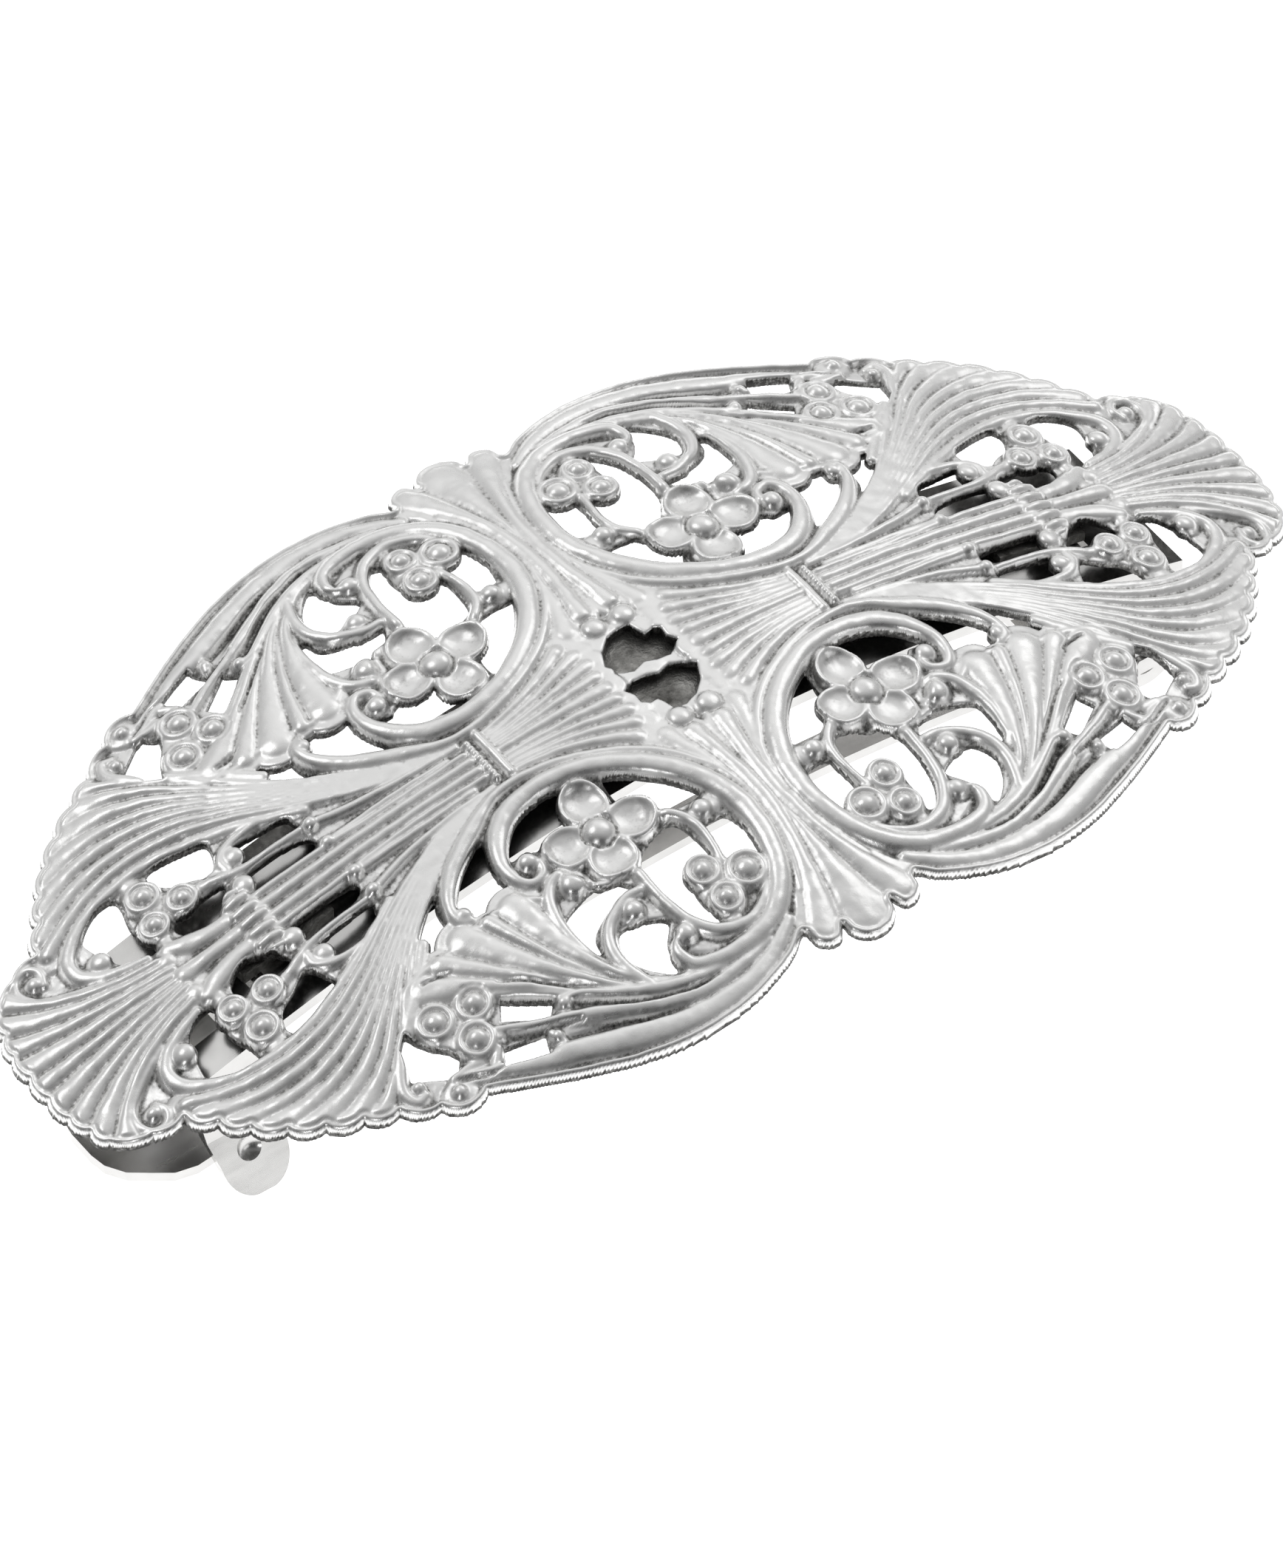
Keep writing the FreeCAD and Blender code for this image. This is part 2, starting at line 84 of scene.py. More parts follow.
# raised ridges: (x, y, half width, height) along each; where ridges meet, the higher one shows
BANDS = [
    # main scroll ring, from the upper curl round to the hook beside the flower
    [(11.2, 18.6, 0.42, 0.5), (11.9, 19.4, 0.5, 0.6), (11.5, 20.6, 0.58, 0.65),
     (10.2, 21.2, 0.65, 0.7), (8.3, 21.35, 0.7, 0.75), (6.0, 20.9, 0.75, 0.75),
     (4.1, 19.6, 0.8, 0.8), (2.8, 17.6, 0.82, 0.85), (2.1, 15.0, 0.85, 0.85),
     (2.1, 12.3, 0.88, 0.85), (2.95, 9.7, 0.88, 0.85), (4.5, 7.4, 0.88, 0.85),
     (6.6, 5.6, 0.85, 0.85), (9.2, 4.35, 0.8, 0.85), (12.0, 3.9, 0.78, 0.8), (14.6, 4.4, 0.82, 0.8),
     (16.3, 5.8, 0.78, 0.8), (17.15, 7.5, 0.62, 0.75), (17.1, 9.0, 0.52, 0.7),
     (16.4, 9.85, 0.46, 0.62), (15.45, 9.6, 0.42, 0.55), (15.1, 8.8, 0.38, 0.5)],
    # thinner arc outside it, from the side shell to the small knob
    [(2.7, 20.0, 0.22, 0.45), (1.75, 17.6, 0.3, 0.5), (1.15, 15.0, 0.34, 0.5),
     (1.1, 12.4, 0.36, 0.5), (1.6, 9.9, 0.38, 0.5), (2.9, 7.6, 0.4, 0.55), (4.6, 5.8, 0.42, 0.6),
     (6.6, 4.5, 0.45, 0.62), (9.2, 3.35, 0.45, 0.65), (12.0, 2.68, 0.42, 0.65),
     (14.5, 2.8, 0.46, 0.65), (17.1, 4.05, 0.68, 0.7), (19.5, 5.5, 0.7, 0.72),
     (20.9, 6.9, 0.62, 0.72), (21.6, 8.2, 0.52, 0.7), (21.6, 9.2, 0.46, 0.62),
     (21.0, 9.55, 0.4, 0.5)],
    # stem of the flower, curving up into the ring
    [(10.6, 12.6, 0.46, 0.6), (10.6, 14.2, 0.44, 0.6), (10.5, 16.0, 0.46, 0.62),
     (10.05, 17.9, 0.5, 0.62), (8.9, 19.5, 0.55, 0.62), (6.9, 20.1, 0.5, 0.6),
     (5.2, 19.4, 0.42, 0.55), (3.9, 18.1, 0.3, 0.45)],
    # second curl and its ball
    [(14.6, 20.3, 0.5, 0.55), (15.2, 18.6, 0.55, 0.6), (15.25, 17.0, 0.52, 0.6),
     (14.6, 15.6, 0.5, 0.6), (13.5, 14.8, 0.46, 0.6), (12.3, 14.3, 0.42, 0.55),
     (11.3, 14.3, 0.42, 0.5)],
    # wrap of the third curl
    [(16.6, 16.5, 0.42, 0.5), (16.85, 14.6, 0.5, 0.6), (16.75, 12.8, 0.55, 0.62),
     (16.2, 11.3, 0.52, 0.62), (15.3, 10.45, 0.46, 0.6), (14.1, 10.3, 0.4, 0.55),
     (13.4, 10.9, 0.36, 0.5), (13.3, 11.7, 0.34, 0.45)],
    [(12.9, 12.2, 0.45, 0.4), (11.6, 12.4, 0.5, 0.45), (10.6, 12.5, 0.45, 0.45)],
    # stalk of the ring berries and its side ball
    [(5.7, 15.6, 0.36, 0.45), (5.45, 14.2, 0.36, 0.48), (5.35, 12.9, 0.38, 0.5),
     (5.6, 11.6, 0.4, 0.5), (6.3, 10.7, 0.42, 0.5), (7.2, 10.1, 0.42, 0.5)],
    [(2.6, 11.2, 0.75, 0.3), (4.2, 11.5, 0.72, 0.35), (5.3, 11.6, 0.5, 0.35)],
    [(2.9, 16.9, 0.5, 0.3), (4.0, 16.9, 0.6, 0.35)],
    [(5.8, 17.2, 0.55, 0.25), (7.1, 16.8, 0.6, 0.25)],
    [(7.2, 18.4, 0.5, 0.25), (7.4, 19.6, 0.6, 0.3)],
    # long leaf: bars between the rim and the fan
    [(4.6, 21.3, 0.45, 0.45), (6.5, 22.55, 0.62, 0.52), (9.0, 23.5, 0.75, 0.56),
     (12.0, 23.75, 0.85, 0.6), (15.0, 23.3, 0.92, 0.62), (18.0, 22.3, 0.95, 0.62),
     (21.0, 21.1, 0.85, 0.58), (23.5, 20.3, 0.62, 0.5), (25.6, 19.2, 0.55, 0.5),
     (27.6, 18.2, 0.45, 0.45)],
    [(6.5, 21.8, 0.36, 0.45), (9.0, 22.3, 0.48, 0.52), (11.5, 22.5, 0.58, 0.58),
     (14.0, 22.0, 0.62, 0.6), (17.0, 20.6, 0.58, 0.62), (19.5, 19.3, 0.52, 0.6),
     (22.0, 18.15, 0.42, 0.55), (24.2, 16.9, 0.36, 0.5)],
    [(9.5, 21.8, 0.36, 0.45), (12.5, 21.35, 0.48, 0.55), (15.0, 20.4, 0.5, 0.58),
     (17.0, 19.25, 0.45, 0.58), (18.7, 18.1, 0.42, 0.58), (19.7, 17.9, 0.45, 0.55)],
    [(24.2, 17.2, 0.36, 0.4), (24.9, 18.0, 0.36, 0.4), (25.6, 18.7, 0.4, 0.4)],
    [(19.0, 17.9, 0.3, 0.4), (20.1, 17.0, 0.34, 0.5), (21.4, 15.9, 0.34, 0.5),
     (22.9, 14.8, 0.36, 0.5)],
    [(22.9, 20.6, 0.4, 0.3), (25.0, 19.5, 0.45, 0.35), (27.2, 18.6, 0.5, 0.4)],
    [(21.3, 20.0, 0.36, 0.4), (21.6, 19.2, 0.36, 0.45), (21.2, 18.7, 0.3, 0.35)],
    # scalloped hem of the leaf fan
    [(16.7, 11.1, 0.3, 0.45), (17.8, 10.35, 0.34, 0.5), (18.7, 10.6, 0.3, 0.45),
     (19.6, 10.1, 0.34, 0.5), (20.6, 10.45, 0.3, 0.45), (21.6, 10.15, 0.36, 0.5),
     (22.6, 10.75, 0.3, 0.45), (24.2, 10.55, 0.36, 0.5), (25.8, 10.75, 0.4, 0.55),
     (27.2, 11.1, 0.42, 0.58), (28.0, 12.2, 0.42, 0.58), (28.2, 13.4, 0.36, 0.5)],
    # links of the outer berry cluster to the scroll beside the big fan
    [(26.3, 17.9, 0.45, 0.35), (27.2, 17.8, 0.4, 0.4), (28.2, 17.9, 0.45, 0.45)],
    [(26.6, 16.0, 0.45, 0.3), (27.3, 15.4, 0.45, 0.3)],
    [(27.9, 13.2, 0.5, 0.3), (28.6, 12.6, 0.5, 0.35)],
    # corner scroll of the end palmette
    [(43.2, 6.2, 0.3, 0.4), (42.95, 7.2, 0.36, 0.5), (43.5, 7.95, 0.38, 0.52),
     (44.45, 7.75, 0.38, 0.55), (44.9, 6.8, 0.4, 0.58), (44.6, 5.7, 0.4, 0.58),
     (43.6, 4.8, 0.38, 0.55), (42.2, 4.0, 0.34, 0.5), (40.6, 3.3, 0.28, 0.42)],
    # links round the end berries
    [(31.3, 4.5, 0.4, 0.35), (32.4, 4.8, 0.45, 0.35)],
    [(34.0, 5.6, 0.55, 0.25), (34.8, 5.9, 0.55, 0.25)],
    [(35.9, 3.4, 0.5, 0.3), (36.1, 2.4, 0.55, 0.4)],
    [(34.9, 7.9, 0.55, 0.3), (35.4, 8.4, 0.55, 0.35)],
    [(34.9, 4.4, 0.5, 0.25), (35.3, 4.6, 0.5, 0.25)],
    # fingers beside the stalk, each ending in a knob
    [(15.0, 2.05, 0.24, 0.4), (18.0, 2.3, 0.3, 0.45), (21.5, 2.8, 0.38, 0.5),
     (24.4, 3.55, 0.42, 0.52)],
    [(15.0, 1.55, 0.22, 0.38), (19.0, 1.65, 0.28, 0.42), (22.0, 1.62, 0.32, 0.48),
     (24.5, 1.55, 0.42, 0.5)],
    [(24.8, 3.7, 0.3, 0.35), (27.0, 3.72, 0.34, 0.45), (29.3, 3.85, 0.36, 0.45),
     (30.6, 4.2, 0.4, 0.45), (31.6, 4.6, 0.4, 0.4)],
    # stalk
    [(14.0, 0, 1.8, 0.24), (22.0, 0, 1.8, 0.26), (30.0, 0, 1.9, 0.28)],
    [(14.0, 0.42, 0.42, 0.56), (20.0, 0.45, 0.45, 0.6), (26.0, 0.5, 0.48, 0.62),
     (30.6, 0.55, 0.5, 0.62)],
    [(14.0, 1.15, 0.3, 0.5), (20.0, 1.12, 0.3, 0.5), (26.0, 1.4, 0.36, 0.56),
     (29.0, 1.45, 0.38, 0.56), (30.6, 1.4, 0.4, 0.56)],
    [(25.6, 5.9, 0.3, 0.4), (27.5, 6.2, 0.36, 0.42), (29.2, 6.0, 0.42, 0.45),
     (30.2, 5.3, 0.44, 0.48), (30.2, 4.5, 0.4, 0.45)],
    # lobes of the second cord, and the neck of the stalk beyond it
    [(30.4, 0, 0.46, 0.78), (31.2, 0, 0.52, 0.92), (32.0, 0, 0.46, 0.78)],
    [(30.5, 0.98, 0.46, 0.76), (31.25, 0.96, 0.52, 0.9), (32.0, 0.94, 0.46, 0.76)],
    [(30.6, 1.95, 0.42, 0.72), (31.3, 1.92, 0.5, 0.86), (32.0, 1.88, 0.42, 0.72)],
    [(30.9, 2.7, 0.3, 0.6), (31.4, 2.7, 0.36, 0.7), (31.9, 2.65, 0.3, 0.6)],
    [(32.2, 0, 0.62, 0.58), (34.2, 0, 0.6, 0.64), (36.6, 0, 0.8, 0.66)],
    [(32.2, 1.25, 0.66, 0.52), (33.8, 1.4, 0.72, 0.58), (35.2, 1.75, 0.8, 0.62),
     (36.4, 2.3, 0.62, 0.56)],
]

# flute fans: (height, floor, steps over which the inner ends sink, grooves), with the grooves
# between neighbouring flutes all traced through the same stations
FANS = [
    # neck fan running in under the ring
    (0.56, 0.32, 2, [
        [(12.2, -0.35), (9.0, -0.4), (6.0, -0.45), (3.0, -0.5)],
        [(12.2, 0.35), (9.0, 0.4), (6.0, 0.5), (3.1, 0.7)],
        [(12.2, 0.8), (9.0, 0.98), (6.0, 1.35), (2.9, 1.8)],
        [(12.2, 1.2), (9.0, 1.55), (6.0, 2.2), (2.9, 3.1)],
        [(12.2, 1.6), (9.0, 2.1), (6.1, 3.05), (3.4, 4.3)],
        [(12.2, 2.1), (9.2, 2.75), (6.4, 3.95), (4.2, 5.35)],
    ]),
    # big fan, from its lower band up to the scroll beside the outer window
    (0.72, 0.36, 0, [
        [(14, 2.02), (17, 2.35), (20, 3.2), (24, 5.0), (28, 7.25), (31, 8.6), (34, 9.25),
         (37, 9.15), (39.6, 8.4), (41.8, 7.2)],
        [(14, 2.06), (17, 2.5), (20, 3.5), (24, 5.5), (28, 8.0), (31, 9.5), (34, 10.25), (37, 10.2),
         (39.6, 9.5), (42.1, 8.4)],
        [(14, 2.1), (17, 2.65), (20, 3.75), (24, 5.95), (28, 8.7), (31, 10.4), (34, 11.3),
         (37, 11.4), (39.3, 10.9), (41.1, 10.2)],
        [(14, 2.14), (17, 2.8), (20, 4.0), (24, 6.4), (28, 9.35), (31, 11.35), (34, 12.45),
         (36.8, 12.65), (38.6, 12.4), (39.9, 12.0)],
        [(14, 2.18), (17, 2.95), (20, 4.25), (24, 6.8), (28, 10.0), (31, 12.3), (33.5, 13.5),
         (35.8, 14.0), (37.2, 14.0), (38.3, 13.8)],
        [(14, 2.22), (17, 3.1), (20, 4.5), (24, 7.2), (28, 10.7), (30.6, 13.25), (32.6, 14.6),
         (34.2, 15.2), (35.4, 15.4), (36.4, 15.3)],
        [(14, 2.26), (17, 3.2), (20, 4.75), (24, 7.6), (27.6, 11.2), (30, 13.9), (31.6, 15.3),
         (32.6, 16.0), (33.5, 16.4), (34.3, 16.5)],
        [(14, 2.3), (17, 3.3), (20, 5.0), (24, 8.0), (27.2, 11.7), (29.6, 14.3), (31.1, 15.9),
         (31.8, 16.7), (32.1, 17.1), (32.2, 17.5)],
    ]),
    # leaf fan over the ring hook
    (0.7, 0.34, 0, [
        [(9.5, 21.3), (13.0, 20.6), (15.2, 18.9), (16.4, 16.6), (16.9, 14.0), (17.1, 10.9)],
        [(9.5, 21.5), (13.2, 20.9), (15.8, 19.0), (17.5, 16.5), (18.7, 13.7), (19.6, 10.4)],
        [(9.5, 21.6), (13.3, 21.0), (16.1, 19.0), (18.1, 16.4), (19.6, 13.6), (20.9, 10.4)],
        [(9.5, 21.7), (13.5, 21.2), (16.7, 19.05), (19.1, 16.5), (21.4, 13.6), (23.5, 10.7)],
        [(9.5, 21.75), (13.6, 21.3), (17.0, 19.1), (19.6, 16.7), (22.5, 13.8), (25.2, 11.2)],
        [(9.5, 21.8), (13.7, 21.4), (17.3, 19.2), (20.2, 16.9), (23.6, 14.3), (27.3, 12.3)],
    ]),
    # end palmette, from its tip flute round to the corner scroll
    (0.74, 0.32, 0, [
        [(36.6, -0.22), (39.0, -0.3), (42.0, -0.42), (45.4, -0.6), (49.2, -0.9)],
        [(36.6, 0.22), (39.0, 0.3), (42.0, 0.42), (45.4, 0.6), (49.2, 0.9)],
        [(36.8, 0.6), (39.4, 0.95), (42.4, 1.4), (45.6, 2.1), (48.6, 3.1)],
        [(37.0, 1.15), (39.7, 1.6), (42.5, 2.3), (45.3, 3.4), (47.8, 4.9)],
        [(37.2, 1.7), (40.0, 2.3), (42.7, 3.35), (44.9, 4.9), (46.7, 6.5)],
        [(37.5, 2.3), (40.3, 3.0), (42.7, 4.2), (44.6, 5.8), (45.2, 7.6)],
    ]),
    # side shell, one half: its middle lobe, and the band running down to a knob
    (0.62, 0.36, 0, [
        [(-1.85, 23.4), (-1.3, 21.4), (-0.7, 18.2), (-0.4, 15.8), (-0.2, 13.2)],
        [(1.85, 23.4), (1.3, 21.4), (0.7, 18.2), (0.4, 15.8), (0.2, 13.2)],
    ]),
    (0.66, 0.36, 0, [
        [(1.85, 23.4), (1.3, 21.4), (0.7, 18.2), (0.3, 14.5), (0.12, 10.5), (0.3, 6.4)],
        [(4.3, 22.7), (3.2, 20.9), (1.9, 18.4), (1.0, 15.5), (0.95, 11.5), (1.9, 6.2)],
    ]),
    (0.48, 0.32, 0, [
        [(1.0, 12.5), (1.1, 10.5), (1.4, 8.5), (1.9, 5.4)],
        [(1.3, 12.5), (1.7, 10.2), (2.5, 7.8), (3.6, 5.6)],
    ]),
]
FLUTE_STEPS = 8          # curve steps between two stations
MIN_FLUTE = 0.16         # half width at which a flute has sunk to the floor of its fan
FLUTE_FADE = 0.25        # and how much wider it is at full height
FLUTE_END = 0.02         # height of a sunk inner end

# broad bands that close the big fan: the scroll beside the outer window, and the lower one
BROAD = [
    [(24.3, 8.9, 0.5, 0.45), (26.6, 11.4, 0.62, 0.55), (28.4, 13.0, 0.6, 0.64),
     (29.9, 14.4, 0.6, 0.68), (30.9, 15.7, 0.58, 0.68), (31.3, 16.8, 0.52, 0.64),
     (30.95, 17.7, 0.45, 0.58), (30.2, 17.6, 0.4, 0.45)],
    [(24.0, 4.8, 0.45, 0.42), (28.0, 6.9, 0.5, 0.45), (31.0, 8.1, 0.5, 0.48),
     (34.0, 8.85, 0.48, 0.5), (37.0, 8.75, 0.5, 0.52), (39.4, 8.0, 0.55, 0.55),
     (41.1, 6.7, 0.62, 0.58), (41.5, 5.3, 0.6, 0.58), (40.8, 4.1, 0.55, 0.54),
     (39.4, 3.3, 0.48, 0.5), (37.6, 2.8, 0.42, 0.45)],
]

# incised lines: (x, y, half width, depth) along each
GROOVES = [
    [(13.5, 21.7, 0.14, 0.2), (15.5, 20.9, 0.24, 0.35), (17.3, 19.75, 0.3, 0.4),
     (19.0, 18.5, 0.26, 0.35), (19.5, 18.2, 0.14, 0.2)],
    [(13.5, 22.75, 0.1, 0.2), (16.0, 22.0, 0.24, 0.35), (18.5, 20.85, 0.32, 0.4),
     (20.4, 20.1, 0.28, 0.35), (21.0, 19.8, 0.16, 0.2)],
    [(16.0, 24.1, 0.08, 0.1), (20.0, 22.85, 0.16, 0.25), (23.5, 21.3, 0.2, 0.35),
     (26.0, 19.95, 0.2, 0.35), (27.3, 19.3, 0.12, 0.2)],
    [(19.5, 19.6, 0.12, 0.2), (21.6, 18.75, 0.2, 0.3), (23.2, 18.15, 0.22, 0.35),
     (24.6, 17.7, 0.15, 0.2)],
    [(23.6, 18.9, 0.08, 0.1), (25.8, 19.2, 0.1, 0.2), (27.3, 18.5, 0.16, 0.3),
     (28.2, 18.1, 0.1, 0.2)],
    [(17.5, 18.4, 0.08, 0.2), (19.2, 16.9, 0.14, 0.25), (21.0, 15.3, 0.12, 0.2),
     (22.4, 14.3, 0.08, 0.1)],
    [(24.2, 11.9, 0.08, 0.1), (25.1, 11.55, 0.14, 0.25), (26.2, 11.45, 0.08, 0.1)],
    [(10.5, 22.1, 0.1, 0.2), (12.5, 21.95, 0.2, 0.3), (14.5, 21.3, 0.16, 0.25)],
    [(8.4, 20.7, 0.1, 0.2), (10.0, 20.4, 0.18, 0.3), (11.2, 19.7, 0.18, 0.3),
     (11.5, 19.0, 0.12, 0.2)],
]

# balls in a collar: (x, y, radius of the collar)
BERRIES = [
    (4.75, 16.95, 1.5), (7.05, 18.0, 1.25), (7.2, 15.55, 1.3), (25.6, 16.65, 1.4),
    (24.35, 14.5, 1.35), (27.0, 14.0, 1.4), (35.25, 6.75, 1.3), (33.5, 4.8, 1.2), (35.9, 4.4, 1.15),
]
# plain balls: (x, y, radius, height)
DOMES = [
    (4.45, 11.55, 0.78, 0.75), (14.4, 11.4, 0.98, 0.85), (12.45, 15.35, 0.8, 0.75),
    (10.75, 18.6, 0.78, 0.75), (15.75, 8.35, 0.8, 0.8), (21.2, 8.95, 0.7, 0.72),
    (28.5, 18.9, 0.62, 0.8), (30.35, 16.95, 0.55, 0.65), (32.95, 16.5, 0.62, 0.6),
    (19.8, 18.0, 0.55, 0.65), (21.4, 19.6, 0.5, 0.6), (24.4, 3.5, 0.62, 0.78),
    (24.4, 1.55, 0.62, 0.78), (29.3, 5.05, 0.8, 0.62), (30.1, 2.75, 0.85, 0.66),
    (39.9, 4.75, 0.88, 0.78), (43.7, 6.7, 0.62, 0.62), (36.9, 1.6, 0.75, 0.6),
]
# balls sunk in a moat of their own: the heart of the flower, and one beside the shell
BOSSES = [
    (10.6, 8.95, 1.15, 1.15), (1.15, 4.75, 0.85, 0.62),
]
# petals of the flower: (x, y, half size along X, half size along Y)
PETALS = [
    (11.05, 11.2, 1.8, 1.75), (12.95, 8.85, 1.85, 1.72), (8.35, 9.35, 1.82, 1.72),
    (10.2, 6.75, 1.75, 1.85),
]
# low rounded ground under the clusters: (x, y, radius, height)
PADS = [
    (6.4, 16.8, 1.75, 0.34), (12.6, 15.0, 1.1, 0.25), (1.6, 4.2, 1.7, 0.22), (2.6, 2.6, 1.5, 0.22),
    (26.0, 15.2, 2.0, 0.34), (30.6, 4.9, 0.8, 0.25), (34.9, 5.3, 1.35, 0.34), (36.3, 1.6, 1.3, 0.3),
    (41.9, 7.6, 1.1, 0.3), (28.5, 19.0, 1.25, 0.4), (46.5, 0.0, 2.2, 0.25), (26.0, 12.4, 1.7, 0.25),
]
PAD_POWER = 0.35         # lower powers give flatter tops and steeper sides
BALL_POWER = 0.5

DISH_CENTRE = (10.6, 9.0)       # the flower lies lower than the ring round it
DISH_REACH = 3.2
DISH_FADE = 1.3
DISH_DROP = 0.65

STALK_HALF = 1.95        # half length of the bar and of the row of beads across the stalk
BAR_X = 12.45
BEADS_X = 13.4
BEADS = 4
CROSS_R = 0.36
BAR_HEIGHT = 0.62
BEAD_HEIGHT = 0.66

# windows whose edges the ridges may overlap
RING_WINDOWS = [
    [(3.45, 10.35), (5.9, 10.4), (6.9, 9.2), (7.9, 8.2), (8.0, 7.2), (8.1, 6.0), (7.9, 5.5),
     (6.5, 6.5), (4.9, 8.1), (3.9, 9.5)],
    [(11.0, 4.75), (11.4, 6.6), (12.0, 7.6), (14.0, 7.8), (14.9, 7.6), (15.2, 7.3), (16.5, 7.4),
     (16.3, 6.3), (15.0, 5.2), (13.0, 4.7)],
    [(2.75, 15.6), (3.2, 16.4), (4.2, 15.9), (5.1, 15.8), (5.1, 14.0), (4.95, 12.6), (3.9, 12.4),
     (3.2, 12.7), (2.85, 14.2)],
    [(8.2, 18.8), (9.4, 18.8), (10.0, 17.9), (10.15, 15.0), (9.9, 12.6), (8.6, 11.3), (6.5, 11.2),
     (5.9, 13.0), (6.1, 15.0), (8.0, 15.4), (8.4, 17.0)],
    [(12.5, 20.2), (13.2, 20.0), (14.3, 18.7), (14.7, 17.3), (13.9, 15.9), (12.4, 16.1),
     (11.0, 17.0), (12.0, 18.4)],
    [(15.7, 16.4), (16.2, 16.2), (16.4, 14.5), (16.2, 13.2), (14.8, 12.6), (13.2, 12.3),
     (12.0, 12.8), (11.4, 13.8), (12.6, 14.0), (14.4, 14.6), (15.4, 15.3)],
    [(17.4, 9.9), (17.9, 10.3), (19.1, 10.25), (20.35, 9.6), (21.0, 8.7), (20.9, 7.8), (20.0, 6.7),
     (18.4, 5.5), (17.0, 5.0), (17.6, 6.8), (17.7, 8.3)],
    [(22.2, 9.6), (23.0, 10.0), (25.7, 10.4), (25.4, 9.6), (24.0, 8.2), (22.8, 7.1), (21.7, 6.5),
     (22.1, 7.2), (22.3, 8.6)],
]
# windows cut through whatever is there, with straight sides
STRAIGHT_WINDOWS = [
    [(20.2, 17.35), (21.0, 18.15), (23.5, 16.4), (22.8, 15.3)],
    [(21.8, 18.75), (22.35, 20.25), (23.6, 19.85), (25.1, 19.2), (24.5, 18.0)],
    [(27.0, 16.75), (27.7, 17.55), (28.4, 17.4), (30.3, 16.1), (29.8, 14.2), (28.95, 13.4),
     (28.1, 15.0), (27.3, 16.0)],
]
# and with rounded sides
END_WINDOWS = [
    [(24.95, 4.5), (25.5, 5.25), (28.6, 5.75), (28.9, 4.9), (28.9, 4.2), (25.1, 4.0)],
    [(25.1, 2.0), (25.4, 3.1), (29.3, 3.35), (29.6, 2.3), (29.2, 1.9)],
    [(29.85, 7.1), (31.2, 7.8), (33.5, 8.35), (34.0, 7.9), (33.9, 7.2), (33.3, 6.3), (32.2, 5.8),
     (30.8, 5.2)],
    [(30.9, 3.8), (33.0, 4.0), (34.8, 3.7), (34.8, 2.7), (33.4, 1.9), (32.2, 2.3)],
    [(36.35, 7.9), (37.0, 8.35), (38.3, 8.1), (39.6, 7.1), (39.5, 5.8), (39.1, 4.4), (38.4, 3.4),
     (36.7, 3.0), (36.7, 4.4), (36.9, 5.6)],
]
# the two irregular openings in the middle: this one lies at +Y, its twin is turned half round
CENTRE_WINDOW = [
    (-1.9, 2.7), (-0.9, 3.6), (0.1, 3.9), (0.9, 3.8), (1.1, 3.0), (1.3, 2.5), (2.0, 2.6),
    (2.4, 2.3), (2.3, 1.6), (2.7, 0.9), (1.7, 0.3), (0.7, 0.4), (-0.1, 0.7), (-1.1, 0.4),
    (-1.9, 0.8), (-2.5, 1.5),
]
CENTRE_REACH = (6.0, 7.0)

# ---- height field ------------------------------------------------------------------------
FAR = 9.0                # a distance outside every shape
MARGIN = 0.3
TINY = 1e-9
OUTLINE_GAP = 0.3        # spacing of the points along the outline, the windows and the ridges
WINDOW_GAP = 0.25
RIDGE_GAP = 0.22

# flute: widths over its half spacing, of the fan's ground and of the flute itself
FLUTE_GROUND_W = 1.5
FLUTE_GROUND_POWER = 0.12
FLUTE_W = 1.04
# incised line: share of its depth, flat share of its half width, slope, power, reach
CUT_DEPTH = 0.75
CUT_FLAT = 0.45
CUT_SLOPE = 1.6
CUT_POWER = 1.2
CUT_REACH = 2.2
# berry: a collar from COLLAR_AT of its radius, a moat inside that, and a ball in the middle
COLLAR_AT, COLLAR_W, COLLAR_H = 0.72, 0.30, 0.60
MOAT_AT, MOAT_W, MOAT_DEPTH = 0.58, 0.12, 0.26
BALL_R, BALL_H, BALL_ROUND = 0.54, 0.86, 0.42
BERRY_GROUND = 0.12
BERRY_CLEAR = 0.9        # inside this share of its radius a berry hides the ridges
# boss: the ground and the width of its moat
BOSS_GROUND = 0.18
BOSS_MOAT = 0.12
# petal: a rim at PETAL_RIM_AT of its half size, and a bowl that rises to it
PETAL_RIM_AT, PETAL_RIM_FLAT, PETAL_RIM_W, PETAL_RIM_H = 0.84, 0.04, 0.14, 0.80
PETAL_FLOOR, PETAL_RISE, PETAL_POWER, PETAL_BOWL = 0.30, 0.50, 2.4, 0.9
# the relief may not stand higher than this near the rolled rim
RIM_GROUND = 0.15
RIM_RISE = 0.6


def smooth_line(points, closed=False, gap=RIDGE_GAP, even=None):
    """Catmull-Rom curve through rows of numbers; the first two columns are x and y."""
    p = np.array(points, float)
    if closed:
        p = np.vstack([p[-1], p, p[:2]])
    else:
        p = np.vstack([2 * p[0] - p[1], p, 2 * p[-1] - p[-2]])
    out = []
    for a, b, c, d in zip(p, p[1:], p[2:], p[3:]):
        n = even or max(2, int(math.ceil(np.hypot(*(c - b)[:2]) / gap)))
        t = (np.arange(n) / n)[:, None]
        square = (2 * a - 5 * b + 4 * c - d) * t ** 2
        cube = (3 * b - a - 3 * c + d) * t ** 3
        out.append(0.5 * (2 * b + (c - a) * t + square + cube))
    if not closed:
        out.append(p[-2][None, :])
    return np.vstack(out)


